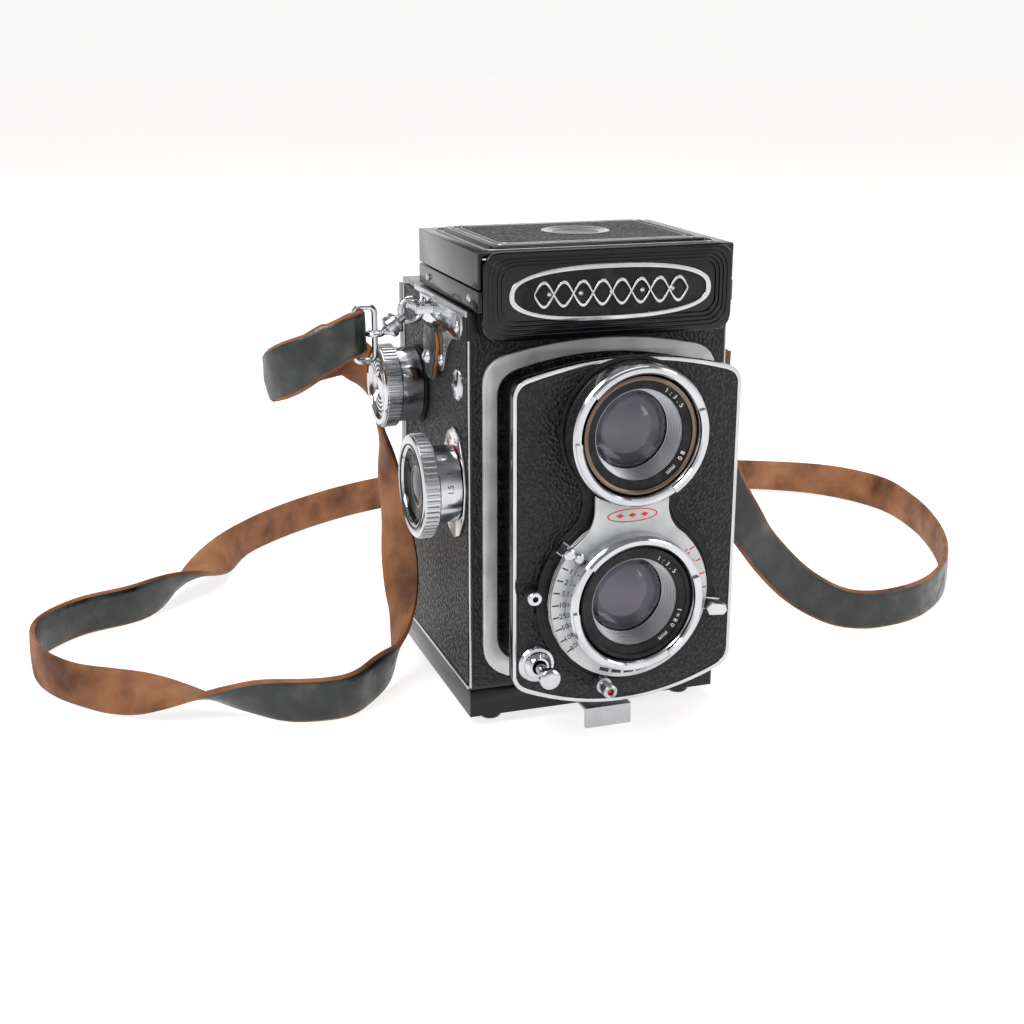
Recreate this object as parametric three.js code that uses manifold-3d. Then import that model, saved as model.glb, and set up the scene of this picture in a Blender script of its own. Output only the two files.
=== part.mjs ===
// A twin lens reflex camera, 6 x 6 cm roll film, in millimetres.
// +Z is up, the lenses look along -Y, the winding knobs are on the -X side.
// The origin is on the underside of the tripod plate, on the body's middle plane.
import * as THREE from 'three';
import Module from 'manifold-3d';
import { mergeVertices } from 'three/addons/utils/BufferGeometryUtils.js';

const wasm = await Module();
wasm.setup();

// ---------------------------------------------------------------- driving dimensions
const GAP = 0.3;                       // space left between touching pieces
const SIDES = 32;                      // facets of a large round piece
const SMALL_SIDES = 16;                // facets of a pin or a screw-sized piece

const body = { half: 34.25, front: -30, split: 29, back: 35, wall: 1.6 };
const height = { floor: 3, split: 10.6, deck: 108.6 };
const lensSpacing = 42;                // between the taking and the viewing axis
const takingZ = 39.9;
const viewingZ = takingZ + lensSpacing;
const mirrorOffset = 91;               // the mirror's plane is z = y + this
const filmPlane = 24.5;
const frameHalf = 28;                  // half of the 56 mm picture side
const spoolAxis = { y: 14.7, z: 82.2, coreRadius: 6, flangeRadius: 12.5 };
const supplyAxis = { y: -15.8, z: 17.2 };
const focusAxis = { y: -19.5, z: 63.5 };
const knobFace = -46.3;                // outer face of both winding knobs
const hingeAxis = { y: 33, z: 106.6, pinRadius: 0.9, holeRadius: 1.2, radius: 2 };
const board = { half: 29.4, topCorner: 94.8, topApex: 99.4, lowCorner: 18.3, lowApex: 11.3,
  front: -49.1, thick: 2.2 };
const lensHole = 14.6;                 // radius of the hole that takes a lens cell
const ringRadius = 17.3;               // outer radius of a bayonet ring
const hood = { half: 33.2, front: -34.6, back: 17.4, base: 108.9, rim: 114.1, top: 123.2, wall: 1.2 };
const panelThick = 0.8;
const socketY = 10;                    // the tripod socket's place on the middle plane
const release = { x: -23.2, z: 24.2 }; // the shutter release on the lens board
const lugBar = { x: -38.8, y: 2, z: 105 };
// Each strap end: which side it is on, how far its snap hook hangs down (degrees), where the
// hook's eye sits from the lug's bar (x outwards, z up), and how the wire loop in it is turned.
const strapEnds = {
  left: { side: -1, tilt: 36, eye: [10.7, -6.3], eyeAxis: 'z', loopTurn: [0, 0, 0] },
  right: { side: 1, tilt: 55, eye: [7.2, -10.3], eyeAxis: 'y', loopTurn: [0, 90, 90] },
};
const strapLoop = { length: 14, depth: 5.3, wire: 0.8 };
const strapRadius = 5.7;

// ---------------------------------------------------------------- materials
const finish = (color, roughness, metalness) =>
  new THREE.MeshStandardMaterial({ color, roughness, metalness });
const blackEnamel = finish(0x101114, 0.3, 0.2);
const greyPaint = finish(0xa9abad, 0.45, 0.6);
const chrome = finish(0xd9dadc, 0.15, 1);
const castMetal = finish(0x3a3b3d, 0.6, 0.7);
const innerBlack = finish(0x0b0b0c, 0.9, 0);
const mirrorGlass = finish(0xe8edf0, 0.03, 1);
const clearGlass = finish(0xbfd0dc, 0.05, 0);
const groundGlass = finish(0xdfe3e2, 0.6, 0);
const strapLeather = finish(0x2a2622, 0.6, 0);
const redGlass = finish(0x8c1410, 0.2, 0);

// ---------------------------------------------------------------- solid helpers
/** Turns a closed three.js geometry into a manifold solid with its faces pointing out. */
function solid(geometry) {
  const bare = geometry.index ? geometry.toNonIndexed() : geometry.clone();
  bare.deleteAttribute('normal');
  bare.deleteAttribute('uv');
  const merged = mergeVertices(bare, 1e-4);
  const points = merged.attributes.position.array;
  const corner = (i) => new THREE.Vector3().fromArray(points, 3 * i);
  const triangles = [];
  let volume = 0;
  for (let t = 0; t < merged.index.count; t += 3) {
    const [a, b, c] = [0, 1, 2].map((k) => merged.index.getX(t + k));
    if (a === b || b === c || c === a) continue;
    triangles.push([a, b, c]);
    volume += corner(a).dot(corner(b).cross(corner(c)));
  }
  const facing = volume < 0 ? triangles.map(([a, b, c]) => [a, c, b]) : triangles;
  const mesh = new wasm.Mesh({
    numProp: 3,
    vertProperties: Float32Array.from(points),
    triVerts: Uint32Array.from(facing.flat()),
  });
  return new wasm.Manifold(mesh);
}

/** A named mesh made from a manifold solid. */
function piece(name, shape, material) {
  const data = shape.getMesh();
  const geometry = new THREE.BufferGeometry();
  geometry.setAttribute('position', new THREE.BufferAttribute(data.vertProperties, 3));
  geometry.setIndex(new THREE.BufferAttribute(data.triVerts, 1));
  geometry.computeVertexNormals();
  const mesh = new THREE.Mesh(geometry, material);
  mesh.name = name;
  return mesh;
}

/** A block between two corners given as [low, high] pairs along x, y and z. */
function block(x, y, z) {
  const geometry = new THREE.BoxGeometry(x[1] - x[0], y[1] - y[0], z[1] - z[0]);
  geometry.translate((x[0] + x[1]) / 2, (y[0] + y[1]) / 2, (z[0] + z[1]) / 2);
  return solid(geometry);
}

/** A turned piece: [radius, distance] points revolved about +Z, +X or +Y through a place. */
function turned(profile, axis, place, sides = SIDES) {
  const points = profile.map(([radius, along]) => new THREE.Vector2(radius, along));
  const geometry = new THREE.LatheGeometry(points, sides);
  if (axis === 'x') geometry.rotateZ(-Math.PI / 2);
  if (axis === 'z') geometry.rotateX(Math.PI / 2);
  geometry.translate(...place);
  return solid(geometry);
}

/** A round rod from one distance to another along an axis. */
function rod(radius, from, to, axis, place, sides = SIDES) {
  return turned([[0, from], [radius, from], [radius, to], [0, to]], axis, place, sides);
}

/** A flat ring: outer and inner radius, and where it starts and ends along its axis. */
function ring(outer, inner, from, to, axis, place, sides = SIDES) {
  const profile = [[inner, from], [outer, from], [outer, to], [inner, to], [inner, from]];
  return turned(profile, axis, place, sides);
}

/** An outline in front view (x, z) given thickness from one y to another. */
function frontPlate(shape, from, to) {
  const geometry = new THREE.ExtrudeGeometry(shape,
    { depth: to - from, bevelEnabled: false, curveSegments: 6 });
  geometry.rotateX(Math.PI / 2);
  geometry.translate(0, to, 0);
  return solid(geometry);
}

/** An outline in side view (y, z) given thickness from one x to another. */
function sidePlate(shape, from, to) {
  const geometry = new THREE.ExtrudeGeometry(shape,
    { depth: to - from, bevelEnabled: false, curveSegments: 6 });
  geometry.rotateX(Math.PI / 2);
  geometry.rotateZ(Math.PI / 2);
  geometry.translate(from, 0, 0);
  return solid(geometry);
}

/** A closed outline through straight corners. */
function polygon(corners) {
  return new THREE.Shape(corners.map(([u, v]) => new THREE.Vector2(u, v)));
}

/** The shield outline of the lens board: straight sides, bowed top and bottom, moved in by inset. */
function shieldOutline(inset, cornerRadius) {
  const half = board.half - inset;
  const topCorner = board.topCorner - inset;
  const topRise = board.topApex - board.topCorner;
  const lowCorner = board.lowCorner + inset;
  const lowDrop = board.lowCorner - board.lowApex;
  const bow = (x) => 1 - (x / half) ** 2;
  const shape = new THREE.Shape();
  const steps = 8;
  const reach = half - cornerRadius;
  shape.moveTo(-half, lowCorner + cornerRadius);
  shape.lineTo(-half, topCorner - cornerRadius);
  shape.quadraticCurveTo(-half, topCorner, -reach, topCorner + topRise * bow(reach));
  for (let i = 1; i <= steps; i += 1) {
    const x = -reach + (2 * reach * i) / steps;
    shape.lineTo(x, topCorner + topRise * bow(x));
  }
  shape.quadraticCurveTo(half, topCorner, half, topCorner - cornerRadius);
  shape.lineTo(half, lowCorner + cornerRadius);
  shape.quadraticCurveTo(half, lowCorner, reach, lowCorner - lowDrop * bow(reach));
  for (let i = 1; i <= steps; i += 1) {
    const x = reach - (2 * reach * i) / steps;
    shape.lineTo(x, lowCorner - lowDrop * bow(x));
  }
  shape.quadraticCurveTo(-half, lowCorner, -half, lowCorner + cornerRadius);
  return shape;
}

/** A rounded rectangle between two corners. */
function roundedRectangle(low, high, radius) {
  const [u0, v0] = low;
  const [u1, v1] = high;
  const shape = new THREE.Shape();
  shape.moveTo(u0 + radius, v0);
  shape.lineTo(u1 - radius, v0);
  shape.quadraticCurveTo(u1, v0, u1, v0 + radius);
  shape.lineTo(u1, v1 - radius);
  shape.quadraticCurveTo(u1, v1, u1 - radius, v1);
  shape.lineTo(u0 + radius, v1);
  shape.quadraticCurveTo(u0, v1, u0, v1 - radius);
  shape.lineTo(u0, v0 + radius);
  shape.quadraticCurveTo(u0, v0, u0 + radius, v0);
  return shape;
}

// ---------------------------------------------------------------- body and film chamber
function bodyShell() {
  const inside = body.half - body.wall;
  let shell = block([-body.half, body.half], [body.front, body.split], [height.split, height.deck]);
  const deckBack = 30.6;
  shell = shell.add(block([-body.half, body.half], [body.split - 1, deckBack], [107, height.deck]));
  const cavity = block([-inside, inside], [body.front + body.wall, body.split + 2], [height.split - 1, 107]);
  shell = shell.subtract(cavity);
  // the light sleeve that the lens board slides over
  const sleeveFront = -40;
  shell = shell.add(frontPlate(shieldOutline(4.8, 3), sleeveFront, body.front + 0.5));
  shell = shell.subtract(frontPlate(shieldOutline(6.2, 2.4), sleeveFront - 1, body.front - 0.01));
  for (const z of [takingZ, viewingZ]) {
    shell = shell.subtract(rod(16.5, body.front - 2, body.front + 4, 'y', [0, 0, z]));
  }
  shell = shell.subtract(block([-26, 26], [-26, 13], [106, 110]));
  // shaft and spool-pin holes in the side walls
  const shaftHole = 3.3;
  for (const axis of [spoolAxis, focusAxis]) {
    shell = shell.subtract(rod(shaftHole, -36, -30, 'x', [0, axis.y, axis.z], SMALL_SIDES));
  }
  for (const axis of [spoolAxis, supplyAxis]) {
    shell = shell.subtract(rod(2.6, 30, 36, 'x', [0, axis.y, axis.z], SMALL_SIDES));
  }
  return piece('body_shell', hingeKnuckles(shell), blackEnamel);
}

/** The two fixed knuckles of the back's hinge, on the rear edge of the deck. */
function hingeKnuckles(shell) {
  const from = 20.4;
  const to = 27;
  let result = shell;
  for (const side of [-1, 1]) {
    const x = side > 0 ? [from, to] : [-to, -from];
    result = result.add(block(x, [29.5, hingeAxis.y], [105.2, 108.4]));
    result = result.add(rod(hingeAxis.radius, x[0], x[1], 'x', [0, hingeAxis.y, hingeAxis.z], SMALL_SIDES));
    result = result.subtract(rod(hingeAxis.holeRadius, x[0] - 1, x[1] + 1, 'x',
      [0, hingeAxis.y, hingeAxis.z], SMALL_SIDES));
  }
  return result;
}

function hingePin() {
  const pin = rod(hingeAxis.pinRadius, -26.9, 26.9, 'x', [0, hingeAxis.y, hingeAxis.z], 12);
  return piece('back_hinge_pin', pin, chrome);
}

/** A four-sided tapered block along +Y, centred on the taking axis. */
function taper(frontHalf, rearHalf, from, to) {
  const diagonal = Math.SQRT2;
  const geometry = new THREE.CylinderGeometry(rearHalf * diagonal, frontHalf * diagonal, to - from, 4, 1);
  geometry.rotateY(Math.PI / 4);
  geometry.translate(0, (from + to) / 2, takingZ);
  return solid(geometry);
}

function lightChamber() {
  const plateFront = 22.5;
  const mouth = -3;                    // leaves the supply spool's 25 mm flanges their room
  const bore = 17;
  let chamber = taper(bore + 1, frameHalf + 0.9, mouth, plateFront + 0.5);
  chamber = chamber.add(block([-32.3, 32.3], [plateFront, filmPlane], [11, 69.4]));
  chamber = chamber.subtract(taper(bore, frameHalf, mouth - 0.2, filmPlane + 0.2));
  return piece('light_chamber', chamber, innerBlack);
}

/** A plate lying on the mirror's slope, from one depth behind its plane to another. */
function slopedPlate(half, from, to) {
  const start = new THREE.Vector2(-26.9, -26.9 + mirrorOffset);
  const end = new THREE.Vector2(12.4, 12.4 + mirrorOffset);
  const inward = new THREE.Vector2(Math.SQRT1_2, -Math.SQRT1_2);
  const corner = (point, depth) => point.clone().addScaledVector(inward, depth).toArray();
  const outline = polygon([corner(start, from), corner(end, from), corner(end, to), corner(start, to)]);
  return sidePlate(outline, -half, half);
}

function filmPath() {
  const upper = rod(1.9, -30.6, 30.6, 'x', [0, 22.6, 71.9], SMALL_SIDES);
  const lower = rod(1.9, -30.6, 30.6, 'x', [0, 22.6, 8.6], SMALL_SIDES);
  return [piece('film_roller_upper', upper, chrome), piece('film_roller_lower', lower, chrome)];
}

function mirrorAndScreen() {
  return [
    piece('reflex_mirror', slopedPlate(frameHalf, 0, 1.2), mirrorGlass),
    piece('mirror_frame', slopedPlate(28.6, 1.5, 2.9), castMetal),
    piece('focusing_screen', block([-27.7, 27.7], [-27.5, 14], [height.deck + GAP, 110.3]), groundGlass),
  ];
}

function faceFrame() {
  const outer = frontPlate(shieldOutline(-1.6, 6), -31.7, -30.3);
  const inner = frontPlate(shieldOutline(2, 5), -32, -30);
  return piece('face_frame', outer.subtract(inner), greyPaint);
}

// ---------------------------------------------------------------- opening back
function backDoor() {
  const side = 1.6;
  const outer = new THREE.Shape();
  outer.moveTo(body.front, height.floor);
  outer.lineTo(30, height.floor);
  outer.quadraticCurveTo(body.back, height.floor, body.back, 8);
  outer.lineTo(body.back, 106.4);
  outer.lineTo(body.split + GAP, 106.4);
  outer.lineTo(body.split + GAP, height.split - GAP);
  outer.lineTo(body.front, height.split - GAP);
  const inner = new THREE.Shape();
  inner.moveTo(body.front + 1.3, 4.6);
  inner.lineTo(29.4, 4.6);
  inner.quadraticCurveTo(33.4, 4.6, 33.4, 8.6);
  inner.lineTo(33.4, 107);
  inner.lineTo(28, 107);
  inner.lineTo(28, 12);
  inner.lineTo(body.front + 1.3, 12);
  let door = sidePlate(outer, -body.half, body.half);
  door = door.subtract(sidePlate(inner, -body.half + side, body.half - side));
  door = door.add(rod(hingeAxis.radius, -20, 20, 'x', [0, hingeAxis.y, hingeAxis.z], SMALL_SIDES));
  for (const x of [[-27.4, -20.1], [20.1, 27.4]]) {
    door = door.subtract(block(x, [30, 36], [104.2, 108]));
  }
  door = door.subtract(rod(hingeAxis.holeRadius, -21, 21, 'x', [0, hingeAxis.y, hingeAxis.z], SMALL_SIDES));
  door = door.subtract(rod(5.6, 32, 36, 'y', [0, 0, takingZ], SMALL_SIDES));
  door = door.subtract(rod(6.9, 2, 6, 'z', [0, socketY, 0]));
  door = door.subtract(block([-6.7, 6.7], [-31, -28], [4.6, 6.4]));
  for (const rail of [[takingZ - 9, takingZ - 7.4], [takingZ + 7.4, takingZ + 9]]) {
    door = door.add(block([-8, 21], [34.5, 36.8], rail));
  }
  return piece('back_door', door, blackEnamel);
}

function tripodFitting() {
  const plate = new THREE.Shape();
  plate.absellipse(0, 3, 14, 19, 0, 2 * Math.PI);
  const geometry = new THREE.ExtrudeGeometry(plate, { depth: 2.7, bevelEnabled: false, curveSegments: 8 });
  const hole = rod(7.2, -1, 4, 'z', [0, socketY, 0]);
  const socket = turned([[3.2, 0.4], [6.6, 0.4], [6.6, 7.2], [0, 7.2], [0, 6], [3.2, 6], [3.2, 0.4]],
    'z', [0, socketY, 0], 24);
  const feet = [[-27, -24], [27, -24], [-27, 26], [27, 26]].map(([x, y], index) => {
    const foot = turned([[0, 0], [2.4, 0], [3, 0.8], [3, 2.7], [0, 2.7]], 'z', [x, y, 0], SMALL_SIDES);
    return piece(`foot_${index + 1}`, foot, blackEnamel);
  });
  return [piece('tripod_plate', solid(geometry).subtract(hole), chrome),
    piece('tripod_socket', socket, chrome), ...feet];
}

function pressureParts() {
  let plate = block([-30.5, 30.5], [24.8, 26], [13, 67]);
  plate = plate.subtract(rod(6, 24, 27, 'y', [0, 0, takingZ], SMALL_SIDES));
  const window = rod(5.3, 33.6, 34.6, 'y', [0, 0, takingZ], SMALL_SIDES);
  const cover = frontPlate(roundedRectangle([-7, takingZ - 7.1], [7, takingZ + 7.1], 1), 35.3, 36.3);
  const grip = block([-1, 1], [36, 37.4], [takingZ - 4, takingZ + 4]);
  return [piece('pressure_plate', plate, castMetal), piece('red_window', window, redGlass),
    piece('window_cover', cover.add(grip), blackEnamel)];
}

function doorLatch() {
  const half = 6.3;
  const hookEnd = -24.8;               // stays clear of the supply spool's flange
  let latch = block([-half, half], [-40.5, hookEnd], [4.9, 6.05]);
  latch = latch.add(block([-half, half], [-40.5, -39.2], [0.3, 6.05]));
  latch = latch.add(block([-half, half], [hookEnd - 1.2, hookEnd], [4.9, 8.4]));
  return piece('back_latch', latch, chrome);
}

// ---------------------------------------------------------------- lens board
/** The two joined discs that surround the lenses, moved in by inset. */
function twinDisc(takingRadius, viewingRadius, from, to, neckHalf) {
  const low = rod(takingRadius, from, to, 'y', [0, 0, takingZ]);
  const high = rod(viewingRadius, from, to, 'y', [0, 0, viewingZ]);
  const neck = block([-neckHalf, neckHalf], [from, to], [takingZ, viewingZ]);
  return low.add(high).add(neck);
}

function lensHoles(shape, radius, from, to) {
  return [takingZ, viewingZ].reduce(
    (left, z) => left.subtract(rod(radius, from, to, 'y', [0, 0, z])), shape);
}

function lensBoard() {
  const back = board.front + board.thick;
  const skirtRear = body.front - 0.6;
  let shape = frontPlate(shieldOutline(0, 3.5), board.front, back);
  shape = shape.add(frontPlate(shieldOutline(3.2, 3), back - 0.2, skirtRear));
  shape = shape.subtract(frontPlate(shieldOutline(4.4, 2.6), back, skirtRear + 1));
  shape = lensHoles(shape, lensHole, board.front - 1, back + 1);
  shape = shape.subtract(rod(1.8, board.front - 1, back + 1, 'y', [release.x, 0, release.z], SMALL_SIDES));
  return piece('lens_board', shape, blackEnamel);
}

function lensSurround() {
  const plateBack = board.front - GAP;
  const plateFront = -50;
  const hubFront = -51.6;
  let shape = twinDisc(23.6, 18, plateFront, plateBack, 11);
  shape = shape.add(rod(18.4, hubFront, plateFront + 0.2, 'y', [0, 0, takingZ]));
  shape = shape.add(rod(17, hubFront, plateFront + 0.2, 'y', [0, 0, viewingZ]));
  return piece('lens_surround', lensHoles(shape, lensHole, -53, -49), innerBlack);
}

function shutterPlate() {
  const back = -51.9;
  const front = -52.7;
  let shape = twinDisc(20.7, 8, front, back, 11.5);
  shape = shape.subtract(rod(ringRadius + 0.6, front - 1, back + 1, 'y', [0, 0, viewingZ]));
  shape = shape.subtract(rod(lensHole, front - 1, back + 1, 'y', [0, 0, takingZ]));
  return piece('shutter_plate', shape, greyPaint);
}

/** A chrome filter bayonet: a ring with a stepped lip. */
function bayonet(name, z, back) {
  const front = -57.6;
  const profile = [[14.6, back], [16.6, back], [ringRadius, back - 1], [ringRadius, front + 0.8],
    [16.4, front], [14.9, front], [14.6, front + 1.5], [14.6, back]];
  return piece(name, turned(profile, 'y', [0, 0, z]), chrome);
}

/** A lens cell: a black tube whose front carries the name ring and a stepped inner barrel. */
function lensCell(name, z) {
  const front = -56.4;
  const back = -44;
  const outer = 14.2;
  const neck = 12.4;
  const profile = [[neck, back], [neck, board.front], [outer, board.front - 0.4], [outer, front],
    [10.9, front], [10.6, front + 0.8], [9.6, -49.8], [10.6, -49.6], [10.6, back], [neck, back]];
  return piece(name, turned(profile, 'y', [0, 0, z]), innerBlack);
}

/** A lens element: two shallow domes on a short edge. */
function lensElement(name, z) {
  const profile = [[0, -49.2], [6, -48.9], [10.2, -47.8], [10.2, -46.6], [6, -45.9], [0, -45.6]];
  return piece(name, turned(profile, 'y', [0, 0, z], 24), clearGlass);
}

function shutterBlades() {
  return piece('shutter_blades', rod(10.2, -45.2, -44.6, 'y', [0, 0, takingZ], 24), castMetal);
}

/** A lever ring behind the shutter plate, with a tab that reaches out and forward. */
function leverRing(name, from, to, angle, tabOuter) {
  const tabFront = -55;
  let shape = ring(20.9, 18.8, from, to, 'y', [0, 0, takingZ]);
  const arm = block([19.5, tabOuter], [from, to], [-1.6, 1.6]);
  const tab = block([21.6, tabOuter], [tabFront, to], [-1.3, 1.3]);
  const turn = (part) => part.rotate([0, -angle, 0]).translate([0, 0, takingZ]);
  shape = shape.add(turn(arm)).add(turn(tab));
  return piece(name, shape, chrome);
}

function cockingLever() {
  const sector = new THREE.Shape();
  const radians = (degrees) => (degrees * Math.PI) / 180;
  sector.absarc(0, takingZ, 24, radians(150), radians(174), false);
  sector.absarc(0, takingZ, 22, radians(174), radians(150), true);
  const tipAngle = 172.6;
  const tipRadius = 25.7;
  const [front, back] = [-50.9, -50.2];
  const arm = block([22.5, tipRadius], [front, back], [-0.8, 0.8]);
  const tip = rod(1.6, -54, back, 'y', [tipRadius, 0, 0], 12);
  const shape = frontPlate(sector, front, back)
    .add(arm.add(tip).rotate([0, -tipAngle, 0]).translate([0, 0, takingZ]));
  return piece('cocking_lever', shape, chrome);
}

function boardFittings() {
  const sync = turned([[0, -57.5], [1.75, -57.5], [1.75, -51], [1.75, -50.3], [0, -50.3]], 'y',
    [-6.5, 0, 17.6], SMALL_SIDES);
  const collar = turned([[1.9, -49.4], [4.1, -49.4], [4.1, -50.6], [3.2, -51.4], [2.4, -51.8],
    [1.9, -51.8], [1.9, -49.4]], 'y', [release.x, 0, release.z], 24);
  const button = turned([[0, -60.4], [2, -60.4], [2.5, -59.8], [2.5, -58.2], [1.4, -57.8], [1.4, -45],
    [0, -45]], 'y', [release.x, 0, release.z], SMALL_SIDES);
  return [piece('flash_socket', sync, chrome), piece('release_collar', collar, chrome),
    piece('release_button', button, chrome)];
}

function lensUnit() {
  return [lensBoard(), lensSurround(), shutterPlate(),
    bayonet('viewing_bayonet', viewingZ, -51.9), bayonet('taking_bayonet', takingZ, -53),
    lensCell('viewing_cell', viewingZ), lensCell('taking_cell', takingZ),
    lensElement('viewing_lens', viewingZ), lensElement('taking_lens', takingZ), shutterBlades(),
    leverRing('speed_ring', -51.6, -51.2, 141, 23.4), leverRing('aperture_ring', -50.8, -50.3, -11.7, 25.5),
    cockingLever(), ...boardFittings()];
}

// ---------------------------------------------------------------- knobs and spool
function focusKnob() {
  const wall = -body.half;
  const profile = [[0, -42.6], [8.6, -43.4], [9.4, knobFace + 0.6], [10.2, knobFace], [12.6, knobFace],
    [13.3, knobFace + 0.8], [13.3, -42.1], [9.8, -41.8], [9.8, wall - 1.5], [2.8, wall - 1.5],
    [2.8, -29], [0, -29]];
  return piece('focus_knob', turned(profile, 'x', [0, focusAxis.y, focusAxis.z]), chrome);
}

function focusIndexPlate() {
  const plate = new THREE.Shape();
  plate.absellipse(focusAxis.y, focusAxis.z, 9.6, 14.6, 0, 2 * Math.PI);
  const hole = rod(3.3, -37, -34, 'x', [0, focusAxis.y, focusAxis.z], SMALL_SIDES);
  return piece('focus_index_plate', sidePlate(plate, -35.3, -34.55).subtract(hole), chrome);
}

function advanceKnob() {
  const wall = -body.half;
  const profile = [[0, knobFace + 0.9], [3, knobFace + 0.9], [3.6, knobFace + 2], [8.4, knobFace + 1.6],
    [9, knobFace], [10.6, knobFace], [11.2, knobFace + 0.7], [11.2, -41.6], [10, -41.3],
    [10, wall - 1.6], [2.8, wall - 1.6], [2.8, -32.7], [0, -32.7]];
  const place = [0, spoolAxis.y, spoolAxis.z];
  let knob = turned(profile, 'x', place);
  const tongue = [[-33, -30], [spoolAxis.y - 1, spoolAxis.y + 1], [spoolAxis.z - 2.4, spoolAxis.z + 2.4]];
  knob = knob.add(block(...tongue));
  const collar = ring(10.4, 3.3, -35.5, -34.55, 'x', place);
  return [piece('advance_knob', knob, chrome), piece('advance_collar', collar, chrome)];
}

function takeUpSpool() {
  const end = 32.3;
  const flange = 31;
  const bore = 3.2;
  const depth = 28.5;
  const { coreRadius, flangeRadius } = spoolAxis;
  const profile = [[0, -depth], [bore, -depth], [bore, -end], [flangeRadius, -end], [flangeRadius, -flange],
    [coreRadius, -flange], [coreRadius, flange], [flangeRadius, flange], [flangeRadius, end],
    [bore, end], [bore, depth], [0, depth]];
  return piece('take_up_spool', turned(profile, 'x', [0, spoolAxis.y, spoolAxis.z], 24), castMetal);
}

/** A knob on the far side that pulls out to free a film spool. */
function spoolKnob(name, axis) {
  const profile = [[0, 29.5], [2.2, 29.5], [2.2, 34.6], [6, 34.6], [6, 38.6], [5.2, 39.5], [0, 39.5]];
  return piece(name, turned(profile, 'x', [0, axis.y, axis.z], 24), chrome);
}

// ---------------------------------------------------------------- focusing hood
function hoodBase() {
  let base = block([-hood.half, hood.half], [hood.front - 0.2, hood.back], [hood.base, hood.rim]);
  base = base.subtract(block([-31.9, 31.9], [-33, 15.9], [hood.base - 1, hood.rim + 1]));
  return piece('hood_base', base, blackEnamel);
}

function namePlate() {
  const outline = roundedRectangle([-32.3, 102], [32.3, 123.6], 4.5);
  let plate = frontPlate(outline, -36.4, -30.3);
  plate = plate.subtract(block([-40, 40], [-35.1, -29], [hood.base - GAP, 130]));
  return piece('name_plate', plate, blackEnamel);
}

function hoodLid() {
  const { half, front, back, rim, top, wall } = hood;
  const skirtLow = rim + GAP;
  let lid = block([-half, half], [front, back], [skirtLow, top]);
  lid = lid.subtract(block([-half + wall, half - wall], [front - 1, back - wall], [skirtLow - 1, top - wall]));
  const crown = roundedRectangle([-half + 5, front + 5], [half - 5, back - 5], 2);
  const geometry = new THREE.ExtrudeGeometry(crown, { depth: 1.2, bevelEnabled: false, curveSegments: 4 });
  geometry.translate(0, 0, top - 0.4);
  return piece('hood_lid', lid.add(solid(geometry)), blackEnamel);
}

/** The magnifier and its frame, fixed under the lid. */
function magnifier() {
  const centre = [0, -8.1, 0];
  const frame = ring(12.6, 10.4, 118.6, 121.7, 'z', centre, 24);
  const lens = turned([[0, 118.4], [6, 118.8], [10, 119.6], [10, 120.6], [6, 121.3], [0, 121.6]], 'z', centre, 24);
  return [piece('magnifier_frame', frame, innerBlack), piece('magnifier_lens', lens, clearGlass)];
}

/** A folding side panel: it lies towards the middle when the hood is shut. */
function hoodSide(name, side) {
  const hingeX = 31.2;
  const z = 113;
  const outline = [[hingeX, -31.5], [hingeX, 15.2], [1.2, 15.2], [1.2, -13.4], [hingeX - 8, -30.6]];
  const shape = polygon(outline.map(([x, y]) => [side * x, y]));
  const geometry = new THREE.ExtrudeGeometry(shape, { depth: panelThick, bevelEnabled: false });
  geometry.translate(0, 0, z - panelThick / 2);
  return piece(name, solid(geometry), blackEnamel);
}

/** The folding back panel, with slanted sides so that it clears the side panels as they rise. */
function hoodBack() {
  const hingeY = 15;
  const length = 20;
  const wide = 28.6;
  const shape = polygon([[-wide, hingeY], [wide, hingeY], [wide - length, hingeY - length],
    [length - wide, hingeY - length]]);
  const geometry = new THREE.ExtrudeGeometry(shape, { depth: panelThick, bevelEnabled: false });
  geometry.translate(0, 0, 111.4 - panelThick / 2);
  return piece('hood_back_panel', solid(geometry), blackEnamel);
}

// ---------------------------------------------------------------- strap and its fittings
/** A three-lobed lug plate with a bar that stands off it for the strap's hook. */
function lugPlate(name, side) {
  const shape = new THREE.Shape();
  shape.moveTo(-27, 107.6);
  shape.quadraticCurveTo(-29, 101.5, -24, 101);
  shape.quadraticCurveTo(-16, 101.5, -12.6, 92);
  shape.quadraticCurveTo(-9.5, 88.6, -6.4, 92);
  shape.quadraticCurveTo(-3, 101.5, 6, 101);
  shape.quadraticCurveTo(10, 101.5, 9, 107.6);
  const inner = body.half + GAP;
  const outer = inner + 0.9;
  const x = (from, to) => (side > 0 ? [from, to] : [-to, -from]);
  let plate = sidePlate(shape, ...x(inner, outer));
  for (const y of [[-3.4, -2], [6, 7.4]]) {
    plate = plate.add(block(x(outer - 0.3, 39.7), y, [lugBar.z - 0.9, lugBar.z + 0.9]));
  }
  plate = plate.add(rod(0.9, -3, 7, 'y', [side * -lugBar.x, 0, lugBar.z], 12));
  return piece(name, plate, chrome);
}

/** A torus section as a turned ring of round wire. */
function wireRing(major, wire, axis, place) {
  const sides = 8;
  const profile = Array.from({ length: sides + 1 }, (_, i) => {
    const angle = (2 * Math.PI * i) / sides;
    return [major + wire * Math.cos(angle), wire * Math.sin(angle)];
  });
  return turned(profile, axis, place, SMALL_SIDES);
}

/** Moves a strap fitting from the lug's bar out to its own side. */
function atLug(shape, side, [x, z] = [0, 0]) {
  const placed = shape.translate([x - lugBar.x, lugBar.y, lugBar.z + z]);
  return side > 0 ? placed : placed.mirror([1, 0, 0]);
}

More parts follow.
